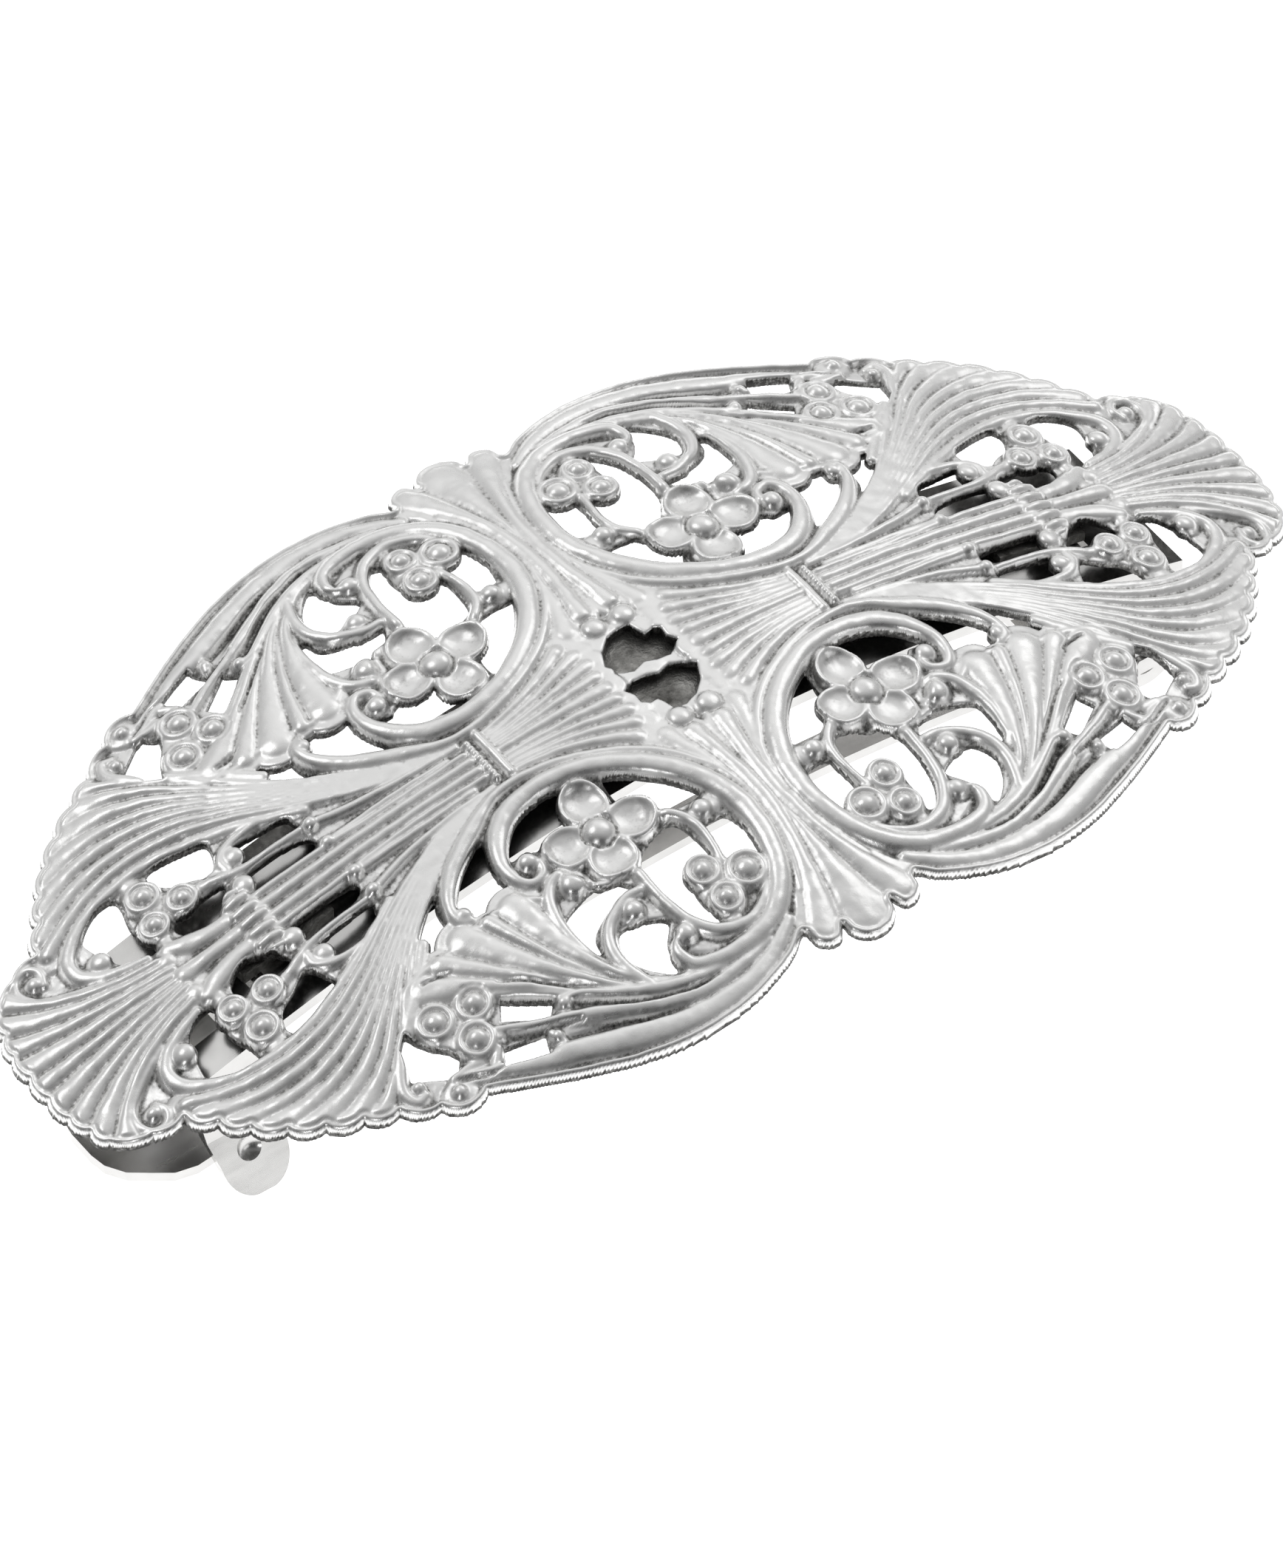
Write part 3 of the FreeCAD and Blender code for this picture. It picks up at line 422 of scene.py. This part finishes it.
def polygon_distance(p, x, y):
    """Signed distance to a closed polygon, positive inside."""
    dist = np.full(x.shape, FAR)
    odd = np.zeros(x.shape, bool)
    for (ax, ay), (bx, by) in zip(p, np.roll(p, -1, axis=0)):
        dx, dy = bx - ax, by - ay
        t = np.clip(((x - ax) * dx + (y - ay) * dy) / max(dx * dx + dy * dy, TINY), 0, 1)
        dist = np.minimum(dist, np.hypot(x - ax - t * dx, y - ay - t * dy))
        if ay != by:
            odd ^= ((ay > y) != (by > y)) & (x < ax + (y - ay) / (by - ay) * dx)
    return np.where(odd, dist, -dist)


def grid_part(x0, x1, y0, y1, margin):
    """Slices of the quarter grid that cover a box and a margin."""
    i0, i1 = int((x0 - margin) / STEP) - 1, int((x1 + margin) / STEP) + 2
    j0, j1 = int((y0 - margin) / STEP) - 1, int((y1 + margin) / STEP) + 2
    return slice(max(0, i0), max(0, i1)), slice(max(0, j0), max(0, j1))


def round_off(q, power=BALL_POWER):
    """Rounded profile: 1 where q is 0, falling to 0 where q is 1."""
    return np.clip(1 - q ** 2, 0, 1) ** power


class Relief:
    """Height over the face, and signed distance inside the metal, on the quarter grid."""

    def __init__(self):
        xs = np.arange(0.0, EXTENT_X + STEP / 2, STEP)
        ys = np.arange(0.0, EXTENT_Y + STEP / 2, STEP)
        self.x, self.y = np.meshgrid(xs, ys, indexing="ij")
        self.height = np.zeros(self.x.shape)
        self.metal = np.full(self.x.shape, -FAR)
        self.rim = np.full(self.x.shape, -FAR)

    def about(self, x0, y0, rx, ry):
        part = grid_part(x0 - rx, x0 + rx, y0 - ry, y0 + ry, MARGIN)
        return part, self.x[part] - x0, self.y[part] - y0

    def raise_to(self, part, height, depth):
        np.maximum(self.height[part], np.where(depth > 0, height, -FAR), out=self.height[part])
        np.maximum(self.metal[part], depth, out=self.metal[part])

    def stretches(self, points):
        """For each short stretch of a line: its part of the grid, distance, half width, height."""
        rows = smooth_line(points)
        for (ax, ay, aw, ah), (bx, by, bw, bh) in zip(rows, rows[1:]):
            reach = max(aw, bw) + MARGIN
            part = grid_part(min(ax, bx), max(ax, bx), min(ay, by), max(ay, by), reach)
            x, y = self.x[part], self.y[part]
            dx, dy = bx - ax, by - ay
            t = np.clip(((x - ax) * dx + (y - ay) * dy) / max(dx * dx + dy * dy, TINY), 0, 1)
            d = np.hypot(x - ax - t * dx, y - ay - t * dy)
            yield part, d, aw + t * (bw - aw), ah + t * (bh - ah)

    def band(self, points, power=BALL_POWER):
        for part, d, w, h in self.stretches(points):
            self.raise_to(part, h * round_off(d / w, power), w - d)

    def groove(self, points):
        """Cuts a rounded line into whatever is there."""
        for part, d, w, h in self.stretches(points):
            cut = -CUT_DEPTH * h + CUT_SLOPE * np.clip(d / w - CUT_FLAT, 0, None) ** CUT_POWER
            cut = np.where(d < CUT_REACH * w, cut, FAR)
            np.minimum(self.height[part], cut, out=self.height[part])

    def fan(self, height, floor, fade, grooves):
        """Flutes between neighbouring grooves, over a shallow floor."""
        lines = [smooth_line(line, even=FLUTE_STEPS) for line in grooves]
        for lo, hi in zip(lines, lines[1:]):
            half = np.hypot(*(hi - lo).T) / 2
            mid = (lo + hi) / 2
            rise = floor + (height - floor) * np.clip((half - MIN_FLUTE) / FLUTE_FADE, 0, 1)
            if fade:
                left = np.arange(len(mid))[::-1]
                rise = FLUTE_END + (rise - FLUTE_END) * np.clip(left / fade, 0, 1) ** 0.5
            wide = np.maximum(half, MIN_FLUTE)
            ground = np.full(len(mid), floor)
            ground = np.column_stack([mid, wide * FLUTE_GROUND_W, ground])
            self.band(ground.tolist(), FLUTE_GROUND_POWER)
            self.band(np.column_stack([mid, wide * FLUTE_W, rise]).tolist())

    def dome(self, x0, y0, r, h, power=BALL_POWER):
        part, dx, dy = self.about(x0, y0, r, r)
        d = np.hypot(dx, dy)
        self.raise_to(part, h * round_off(d / r, power), r - d)

    def berry(self, x0, y0, r):
        """A ball in a round collar with a moat between."""
        part, dx, dy = self.about(x0, y0, r, r)
        q = np.hypot(dx, dy) / r
        collar = COLLAR_H * round_off(np.clip(q - COLLAR_AT, 0, None) / COLLAR_W)
        collar -= MOAT_DEPTH * round_off((q - MOAT_AT) / MOAT_W, 1)
        ball = BALL_H * round_off(q / BALL_R, BALL_ROUND)
        own = np.where(q < 1, np.maximum(np.maximum(collar, ball), BERRY_GROUND), -FAR)
        below = np.maximum(self.height[part], own)
        self.height[part] = np.where(q < BERRY_CLEAR, own, below)
        np.maximum(self.metal[part], r - q * r, out=self.metal[part])

    def boss(self, x0, y0, r, h):
        """A ball sunk in a narrow moat of its own."""
        part, dx, dy = self.about(x0, y0, r, r)
        d = np.hypot(dx, dy)
        own = BOSS_GROUND + (h - BOSS_GROUND) * round_off(d / r)
        self.height[part] = np.where(d < r + BOSS_MOAT, own, self.height[part])
        np.maximum(self.metal[part], r - d, out=self.metal[part])

    def petal(self, x0, y0, rx, ry):
        """A cupped petal: raised rounded rim, shallow bowl."""
        part, dx, dy = self.about(x0, y0, rx, ry)
        q = np.hypot(dx / rx, dy / ry)
        from_rim = np.clip(np.abs(q - PETAL_RIM_AT) - PETAL_RIM_FLAT, 0, None)
        rim = PETAL_RIM_H * round_off(from_rim / PETAL_RIM_W)
        bowl = PETAL_FLOOR + PETAL_RISE * (q / PETAL_RIM_AT) ** PETAL_POWER
        bowl = np.where(q < PETAL_BOWL, bowl, 0)
        self.raise_to(part, np.maximum(rim, bowl), (1 - q) * min(rx, ry))

    def dish(self):
        """Lowers the flower and its petals under the ring."""
        away = np.hypot(self.x - DISH_CENTRE[0], self.y - DISH_CENTRE[1])
        away = np.clip((away - DISH_REACH) / DISH_FADE, 0, 1)
        self.height -= DISH_DROP * (1 - away ** 2 * (3 - 2 * away))

    def polygon(self, points):
        p = np.array(points, float)
        (x0, y0), (x1, y1) = p.min(axis=0), p.max(axis=0)
        part = grid_part(x0, x1, y0, y1, 1)
        return part, polygon_distance(p, self.x[part], self.y[part])

    def trim(self, holes):
        """Cuts the outline and the windows out, and rolls a lip along the outline."""
        part, depth = self.polygon(outline_points())
        self.rim[part] = depth
        lip = LIP_HEIGHT * round_off((self.rim - LIP) / LIP)
        edge = np.clip((self.rim - LIP) / LIP, 0, 1)
        rolled = np.maximum(lip, np.minimum(self.height, RIM_GROUND + RIM_RISE * edge ** 2))
        self.height = np.where(self.rim < 2 * LIP, rolled, self.height)
        ridges = np.minimum(self.metal, self.rim)
        self.metal = np.maximum(np.minimum(self.rim, -holes), ridges)


def outline_points():
    points = BEFORE_OUTLINE + smooth_line(OUTLINE, gap=OUTLINE_GAP).tolist()
    for joints, bulge in SCALLOPS:
        for (ax, ay), (bx, by) in zip(joints, joints[1:]):
            dx, dy = bx - ax, by - ay
            for k in range(LOBE_STEPS + 1):
                t = k / LOBE_STEPS
                push = bulge * math.sin(math.pi * t) ** LOBE_POWER / math.hypot(dx, dy)
                points.append([ax + dx * t - dy * push, ay + dy * t + dx * push])
    return points + AFTER_OUTLINE


def build_relief():
    r = Relief()
    for pad in PADS:
        r.dome(*pad, PAD_POWER)
    for points in BANDS:
        r.band(points)
    for fan in FANS:
        r.fan(*fan)
    for points in BROAD:
        r.band(points)
    for points in GROOVES:
        r.groove(points)
    r.band([(BAR_X, y, CROSS_R, BAR_HEIGHT) for y in (-0.5, STALK_HALF)], PAD_POWER)
    for k in range(BEADS):
        r.dome(BEADS_X, (k + 0.5) * STALK_HALF / BEADS, CROSS_R, BEAD_HEIGHT)
    holes = np.full(r.x.shape, -FAR)
    for windows, straight, cut in ((RING_WINDOWS, False, False), (STRAIGHT_WINDOWS, True, True),
                                   (END_WINDOWS, False, True)):
        for points in windows:
            part, d = r.polygon(points if straight else smooth_line(points, True, WINDOW_GAP))
            holes[part] = np.maximum(holes[part], d)
            if cut:
                r.metal[part] = np.minimum(r.metal[part], -d)
    for add, items in ((r.petal, PETALS), (r.berry, BERRIES), (r.dome, DOMES), (r.boss, BOSSES)):
        for item in items:
            add(*item)
    r.dish()
    r.trim(holes)
    return r


# ---- from one quarter to the whole plate ---------------------------------------------------
WEB_DROP = 0.14          # hollows are filled to this much under the average about them
SEED = 11
WANDER = (40, 0.02)      # broad waves, dents and grain: rounds of softening, depth
DENTS = (9, 0.009)
GRAIN = (2, 0.006)
WEB_ROUNDS = 14
LOW_ROUNDS, LOW_DEPTH = 40, 0.3         # ground this far under the average counts as low
GRAIN_HIGH, GRAIN_LOW = 0.25, 2.0       # share of the grain everywhere, and more on low ground
# patina: its least amount, then what narrow and broad hollows add at full depth
PATINA_LEAST = 0.09
PATINA_FINE = (6, 0.08, 0.27)
PATINA_BROAD = (30, 0.30, 0.35)


def soften(field, rounds):
    out = field.copy()
    for _ in range(rounds):
        out[1:-1] = (out[:-2] + 2 * out[1:-1] + out[2:]) / 4
        out[:, 1:-1] = (out[:, :-2] + 2 * out[:, 1:-1] + out[:, 2:]) / 4
    return out


def four_quarters(quarter):
    half = np.concatenate([quarter[:0:-1], quarter], axis=0)
    return np.concatenate([half[:, :0:-1], half], axis=1)


def random_field(rng, shape, rounds, depth):
    field = soften(rng.standard_normal(shape), rounds)
    return field * (depth / field.std())


def cut_centre(metal, x, y):
    """Cuts the two openings in the middle out of the whole plate."""
    near, across = (slice(n // 2 - round(reach / STEP), n // 2 + round(reach / STEP) + 1)
                    for n, reach in zip(x.shape, CENTRE_REACH))
    for turn in (1, -1):
        points = turn * np.array(CENTRE_WINDOW)
        d = polygon_distance(points, x[near, across], y[near, across])
        metal[near, across] = np.minimum(metal[near, across], -d)


def worn(height):
    """Adds hand-made unevenness, with more grain in the hollows that polishing misses."""
    rng = np.random.default_rng(SEED)
    kinds = (WANDER, DENTS, GRAIN)
    wander, dents, grain = (random_field(rng, height.shape, *kind) for kind in kinds)
    low = np.clip((soften(height, LOW_ROUNDS) - height) / LOW_DEPTH, 0, 1)
    return height + wander + dents + grain * (GRAIN_HIGH + GRAIN_LOW * low)


def patina(height):
    """How much dark patina is left at each place, 0 to 1: most in the narrow and deep hollows."""
    dark = PATINA_LEAST
    for rounds, depth, share in (PATINA_FINE, PATINA_BROAD):
        dark = dark + share * np.clip((soften(height, rounds) - height) / depth, -0.5, 1)
    return np.clip(dark, 0, 1)


def plate_grids():
    """x, y, height, distance inside the metal, depth behind the rim, and patina, stacked."""
    r = build_relief()
    x = four_quarters(r.x)
    y = four_quarters(r.y)
    x[:len(x) // 2] *= -1
    y[:, :y.shape[1] // 2] *= -1
    metal = four_quarters(r.metal)
    cut_centre(metal, x, y)
    height = four_quarters(r.height)
    height = worn(soften(np.maximum(height, soften(height, WEB_ROUNDS) - WEB_DROP), 1))
    return np.stack([x, y, height, metal, four_quarters(r.rim), patina(height)], axis=-1)


# ---- closed sheet --------------------------------------------------------------------------
PLAN, METAL, PATINA_AND_SHADE_LAYER = slice(0, 2), 3, 5        # layers of the stacked grids
SHEET = 0.62             # thickness of the sheet
MIN_SHEET = 0.25
EDGE_ROUND = 0.2         # rounding of the cut edges, upper and lower
UNDER_ROUND = 0.12
UNDER_FOLLOW = 0.35      # share of the relief that shows on the underside
RIM_THIN = 0.26          # the sheet is this much thinner at the outer rim
RIM_REACH = 0.9
# darkness of the cut edges: painted shade for the shadow under the scallops and inside the window
# walls, over some patina along them
RIM_PAINTED_SHADE_AND_PATINA = 0.72
# darkness of the whole underside: painted shade for the dark pockets under the plate, over some
# patina
UNDER_PAINTED_SHADE_AND_PATINA = 0.80
SHARP_ANGLE = math.radians(62)
CUT_RANGE = (0.12, 0.88)        # keeps edge points off the grid points, so no face is a sliver
# Marching squares: each cell has corners a b c d round it, and edge points E F G H between them.
# The key adds 1, 2, 4 and 8 for the corners that are metal.
POLYGONS = {
    1: ["aEH"], 2: ["bFE"], 3: ["abFH"], 4: ["cGF"], 5: ["aEH", "cGF"], 6: ["bcGE"], 7: ["abcGH"],
    8: ["dHG"], 9: ["aEGd"], 10: ["bFE", "dHG"], 11: ["abFGd"], 12: ["cdHF"], 13: ["aEFcd"],
    14: ["bcdHE"], 15: ["abcd"],
}


def rounding(depth, radius):
    """Drop of a rounded edge at a distance inside it."""
    return radius * (1 - np.sqrt(np.clip(1 - (1 - np.clip(depth / radius, 0, 1)) ** 2, 0, 1)))


def edge_points(grids, solid, axis, start):
    """Numbered points where the edge of the metal crosses the grid lines along one axis."""
    a = (slice(None, -1), slice(None))[::1 - 2 * axis]
    b = (slice(1, None), slice(None))[::1 - 2 * axis]
    cross = solid[a] != solid[b]
    one, two = grids[a][cross], grids[b][cross]
    t = np.clip(one[:, METAL] / (one[:, METAL] - two[:, METAL]), *CUT_RANGE)[:, None]
    points = np.where(solid[a][cross][:, None], one, two)
    points[:, PLAN] = one[:, PLAN] * (1 - t) + two[:, PLAN] * t
    points[:, METAL] = 0
    # raises the darkness along every cut edge: painted shade, with some patina
    points[:, PATINA_AND_SHADE_LAYER] = np.maximum(points[:, PATINA_AND_SHADE_LAYER], RIM_PAINTED_SHADE_AND_PATINA)
    numbers = np.full(cross.shape, -1)
    numbers[cross] = start + np.arange(len(points))
    return points, numbers


def trace_cells(solid, numbers, along_x, along_y):
    """Polygons that cover the metal, and the pieces of its edge."""
    corner = {"a": numbers[:-1, :-1], "b": numbers[1:, :-1], "c": numbers[1:, 1:],
              "d": numbers[:-1, 1:], "E": along_x[:, :-1], "F": along_y[1:, :],
              "G": along_x[:, 1:], "H": along_y[:-1, :]}
    case = sum(solid_at * weight for solid_at, weight in (
        (solid[:-1, :-1], 1), (solid[1:, :-1], 2), (solid[1:, 1:], 4), (solid[:-1, 1:], 8)))
    faces, edges = [], []
    for number, polygons in POLYGONS.items():
        here = case == number
        for tokens in polygons:
            faces.append(np.stack([corner[k][here] for k in tokens], axis=1))
            for p, q in zip(tokens, tokens[1:] + tokens[0]):
                if p.isupper() and q.isupper():
                    edges.append(np.stack([corner[p][here], corner[q][here]], axis=1))
    return faces, np.concatenate(edges)


def sheet_mesh():
    grids = plate_grids()
    solid = grids[..., METAL] > 0
    numbers = np.full(solid.shape, -1)
    numbers[solid] = np.arange(solid.sum())
    points = [grids[solid]]
    count = len(points[0])
    crossings = []
    for axis in (0, 1):
        found, ids = edge_points(grids, solid, axis, count)
        points.append(found)
        crossings.append(ids)
        count += len(found)
    top, edges = trace_cells(solid, numbers, *crossings)

    x, y, height, metal, rim, dark = np.concatenate(points).T
    face = face_z(x, y)
    upper = face + height - rounding(metal, EDGE_ROUND)
    thin = RIM_THIN * (1 - np.clip(rim / RIM_REACH, 0, 1))
    lower = face - SHEET + UNDER_FOLLOW * np.clip(height, 0, 1)
    lower = np.minimum(lower + rounding(metal, UNDER_ROUND) + thin, upper - MIN_SHEET)
    places = np.concatenate([np.stack([x, y, upper], 1), np.stack([x, y, lower], 1)]) * MM
    faces = []
    for block in top:
        faces += block.tolist()
        faces += (block[:, ::-1] + count).tolist()
    p, q = edges.T
    faces += np.stack([q, p, p + count, q + count], 1).tolist()

    mesh = bpy.data.meshes.new("filigree_relief")
    mesh.from_pydata(places.tolist(), [], faces)
    mesh.update()
    # per-point darkness: patina in the hollows, and painted shade on the cut edges and the
    # underside
    layer = mesh.attributes.new("patina_and_painted_shade", "FLOAT", "POINT")
    # every underside point gets the painted shade darkness
    dark = np.concatenate([dark, np.full(count, UNDER_PAINTED_SHADE_AND_PATINA)]).astype(np.float32)
    layer.data.foreach_set("value", dark)
    mesh.shade_smooth()
    mesh.set_sharp_from_angle(angle=SHARP_ANGLE)
    return mesh


# ---- materials ---------------------------------------------------------------------------
def material(name):
    m = bpy.data.materials.new(name)
    m.use_nodes = True
    nt = m.node_tree
    nt.nodes.clear()
    out = nt.nodes.new("ShaderNodeOutputMaterial")
    bsdf = nt.nodes.new("ShaderNodeBsdfPrincipled")
    nt.links.new(bsdf.outputs["BSDF"], out.inputs["Surface"])
    return m, nt, bsdf


def noise(nt, scale, detail, rough, stretch=None):
    """Noise in the object's own space, metres, so the scales are large numbers."""
    source = nt.nodes.new("ShaderNodeTexCoord").outputs["Object"]
    if stretch:
        mapping = nt.nodes.new("ShaderNodeMapping")
        mapping.inputs["Scale"].default_value = stretch
        nt.links.new(source, mapping.inputs["Vector"])
        source = mapping.outputs["Vector"]
    node = nt.nodes.new("ShaderNodeTexNoise")
    node.inputs["Scale"].default_value = scale
    node.inputs["Detail"].default_value = detail
    node.inputs["Roughness"].default_value = rough
    nt.links.new(source, node.inputs["Vector"])
    return node.outputs["Fac"]


def ramp(nt, source, stops, target):
    """Leads a value through a colour ramp of (position, grey or colour) to a socket."""
    node = nt.nodes.new("ShaderNodeValToRGB")
    elements = node.color_ramp.elements
    while len(elements) < len(stops):
        elements.new(0.5)
    for element, (at, value) in zip(elements, stops):
        element.position = at
        element.color = (*value, 1) if isinstance(value, tuple) else (value, value, value, 1)
    nt.links.new(source, node.inputs["Fac"])
    nt.links.new(node.outputs["Color"], target)


def maths(nt, kind, *values):
    node = nt.nodes.new("ShaderNodeMath")
    node.operation = kind
    for socket, value in zip(node.inputs, values):
        if isinstance(value, (int, float)):
            socket.default_value = value
        else:
            nt.links.new(value, socket)
    return node.outputs[0]


def centred(nt, fac, amount):
    """A noise of 0 to 1 turned into plus and minus half of amount."""
    return maths(nt, "MULTIPLY", maths(nt, "SUBTRACT", fac, 0.5), amount)


def bump(nt, bsdf, source, strength, distance):
    node = nt.nodes.new("ShaderNodeBump")
    node.inputs["Strength"].default_value = strength
    node.inputs["Distance"].default_value = distance
    nt.links.new(source, node.inputs["Height"])
    nt.links.new(node.outputs["Normal"], bsdf.inputs["Normal"])


def antique_silver():
    """Polished silver plate, darkened where the sheet's darkness attribute is high: patina in its
    hollows, and painted shade along its cut edges and on its underside.
    """
    m, nt, bsdf = material("antique_silver")
    bsdf.inputs["Metallic"].default_value = 1.0
    patina_and_painted_shade = nt.nodes.new("ShaderNodeAttribute")
    patina_and_painted_shade.attribute_name = "patina_and_painted_shade"
    specks = noise(nt, 3800, 3, 0.65)
    mottle = noise(nt, 420, 4, 0.6)
    streak = noise(nt, 900, 5, 0.6, (1.0, 0.25, 1.0))
    # base colour darkened by patina and by the painted shade carried in the attribute, with random
    # specks and mottle
    patina_specks_and_shade = maths(nt, "ADD", patina_and_painted_shade.outputs["Fac"], centred(nt, specks, 0.7))
    patina_specks_and_shade = maths(nt, "ADD", patina_specks_and_shade, centred(nt, mottle, 0.35))
    tones = [(0.26, (.90, .898, .89)), (0.44, (.66, .657, .65)), (0.62, (.26, .258, .25)),
             (0.80, (.05, .049, .047))]
    ramp(nt, patina_specks_and_shade, tones, bsdf.inputs["Base Color"])
    dull = maths(nt, "ADD", maths(nt, "MULTIPLY", streak, 0.5), maths(nt, "MULTIPLY", patina_specks_and_shade, 0.6))
    ramp(nt, dull, [(0.15, .26), (0.45, .36), (0.9, .60)], bsdf.inputs["Roughness"])
    bump(nt, bsdf, maths(nt, "ADD", specks, streak), 0.25, 0.00004)
    return m


def clasp_steel():
    """Bright rolled strip with faint stains."""
    m, nt, bsdf = material("clasp_steel")
    bsdf.inputs["Metallic"].default_value = 1.0
    rolled = noise(nt, 700, 5, 0.6, (0.15, 1.0, 1.0))
    stain = noise(nt, 160, 4, 0.6)
    tones = [(0.30, (.56, .555, .545)), (0.65, (.70, .695, .685))]
    ramp(nt, stain, tones, bsdf.inputs["Base Color"])
    ramp(nt, rolled, [(0.25, .16), (0.75, .30)], bsdf.inputs["Roughness"])
    bump(nt, bsdf, rolled, 0.12, 0.00003)
    return m


def solder():
    """Rough solder, black with bright lumps."""
    m, nt, bsdf = material("solder")
    bsdf.inputs["Metallic"].default_value = 0.9
    lumps = noise(nt, 650, 5, 0.65)
    tones = [(0.35, (.10, .098, .09)), (0.6, (.34, .335, .32)), (0.8, (.6, .59, .57))]
    ramp(nt, lumps, tones, bsdf.inputs["Base Color"])
    ramp(nt, lumps, [(0.3, .6), (0.8, .3)], bsdf.inputs["Roughness"])
    bump(nt, bsdf, lumps, 0.8, 0.0003)
    return m


def floor_paper():
    m, nt, bsdf = material("floor_paper")
    bsdf.inputs["Base Color"].default_value = (.93, .93, .93, 1)
    bsdf.inputs["Roughness"].default_value = 0.9
    bsdf.inputs["Emission Color"].default_value = (1, 1, 1, 1)
    bsdf.inputs["Emission Strength"].default_value = 0.85
    return m


# ---- the barrette ------------------------------------------------------------------------
silver = antique_silver()
steel = clasp_steel()
pads = solder()

plate = bpy.data.objects.new("filigree_relief", sheet_mesh())
bpy.context.scene.collection.objects.link(plate)
plate.data.materials.append(silver)
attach(plate, "barrette")
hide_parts("filigree_plate")

for name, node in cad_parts.items():
    finish = silver if name == "filigree_plate" else pads if name.startswith("solder") else steel
    node.data.materials.clear()
    node.data.materials.append(finish)

# ---- floor -------------------------------------------------------------------------------
FLOOR_SIZE = 6.0         # metres
FLOOR_Z = -0.09          # low enough for the opened arm to swing clear of it

bpy.ops.mesh.primitive_plane_add(size=FLOOR_SIZE, location=(0, 0, FLOOR_Z))
floor = bpy.context.object
floor.name = "floor"
floor.data.materials.append(floor_paper())

# ---- camera: millimetres and radians, placed from the crest of the plate -----------------
AZIMUTH = math.radians(36.29)
ELEVATION = math.radians(47.51)
ROLL = 0.01023
DISTANCE = 925.4
SHIFT_RIGHT = -0.631
SHIFT_UP = -7.572
SENSOR = 36.0
LENS = 330.577


def set_camera():
    flat = math.cos(ELEVATION)
    forward = Vector((math.sin(AZIMUTH) * flat, math.cos(AZIMUTH) * flat, -math.sin(ELEVATION)))
    level = Vector((math.cos(AZIMUTH), -math.sin(AZIMUTH), 0))
    upward = level.cross(forward)
    right = level * math.cos(ROLL) + upward * math.sin(ROLL)
    up = upward * math.cos(ROLL) - level * math.sin(ROLL)
    crest = Vector((0, 0, CREST_Z))
    place = crest - forward * DISTANCE + right * SHIFT_RIGHT + up * SHIFT_UP
    data = bpy.data.cameras.new("camera")
    data.sensor_width = SENSOR
    data.lens = LENS
    data.clip_start = 0.05
    data.clip_end = 20
    camera = bpy.data.objects.new("camera", data)
    bpy.context.scene.collection.objects.link(camera)
    turn = Matrix((right, up, -forward)).transposed().to_4x4()
    camera.matrix_world = Matrix.Translation(place * MM) @ turn
    bpy.context.scene.camera = camera


set_camera()

# ---- light -------------------------------------------------------------------------------
# name: (place, width, height, watts), in metres; each lamp faces the barrette
LAMPS = {
    "key": ((-0.45, 0.45, 0.80), 0.60, 0.60, 0.88),
    "fill": ((0.65, 0.15, 0.70), 0.60, 0.60, 0.5),
    "low": ((-0.7, -0.55, 0.35), 0.15, 0.15, 0.5),
    "card": ((0.28, -0.63, 0.12), 0.45, 0.14, 0.26),
}
BRIGHT_SIDE = (0.40, 0.62, 0.67)        # the studio's walls are brightest this way
WALLS = [(0.0, .02), (0.35, .06), (0.58, .31), (0.85, .56), (0.93, .64), (1.0, .90)]


def add_lamp(name, place, width, height, watts):
    data = bpy.data.lights.new(name, "AREA")
    data.shape = "DISK" if width == height else "RECTANGLE"
    data.size = width
    data.size_y = height
    data.energy = watts
    lamp = bpy.data.objects.new(name, data)
    bpy.context.scene.collection.objects.link(lamp)
    lamp.location = place
    lamp.rotation_mode = "QUATERNION"
    lamp.rotation_quaternion = (-Vector(place)).to_track_quat("-Z", "Y")


def set_walls():
    """Plain studio surroundings: dark behind the camera, pale beyond the barrette."""
    world = bpy.data.worlds.new("studio")
    bpy.context.scene.world = world
    world.use_nodes = True
    nt = world.node_tree
    nt.nodes.clear()
    out = nt.nodes.new("ShaderNodeOutputWorld")
    back = nt.nodes.new("ShaderNodeBackground")
    toward = nt.nodes.new("ShaderNodeVectorMath")
    toward.operation = "DOT_PRODUCT"
    toward.inputs[1].default_value = BRIGHT_SIDE
    nt.links.new(nt.nodes.new("ShaderNodeTexCoord").outputs["Generated"], toward.inputs[0])
    share = maths(nt, "MULTIPLY_ADD", toward.outputs["Value"], 0.5, 0.5)
    ramp(nt, share, WALLS, back.inputs["Color"])
    nt.links.new(back.outputs["Background"], out.inputs["Surface"])


for name, lamp in LAMPS.items():
    add_lamp(name, *lamp)
set_walls()
bpy.context.scene.view_settings.view_transform = "Standard"
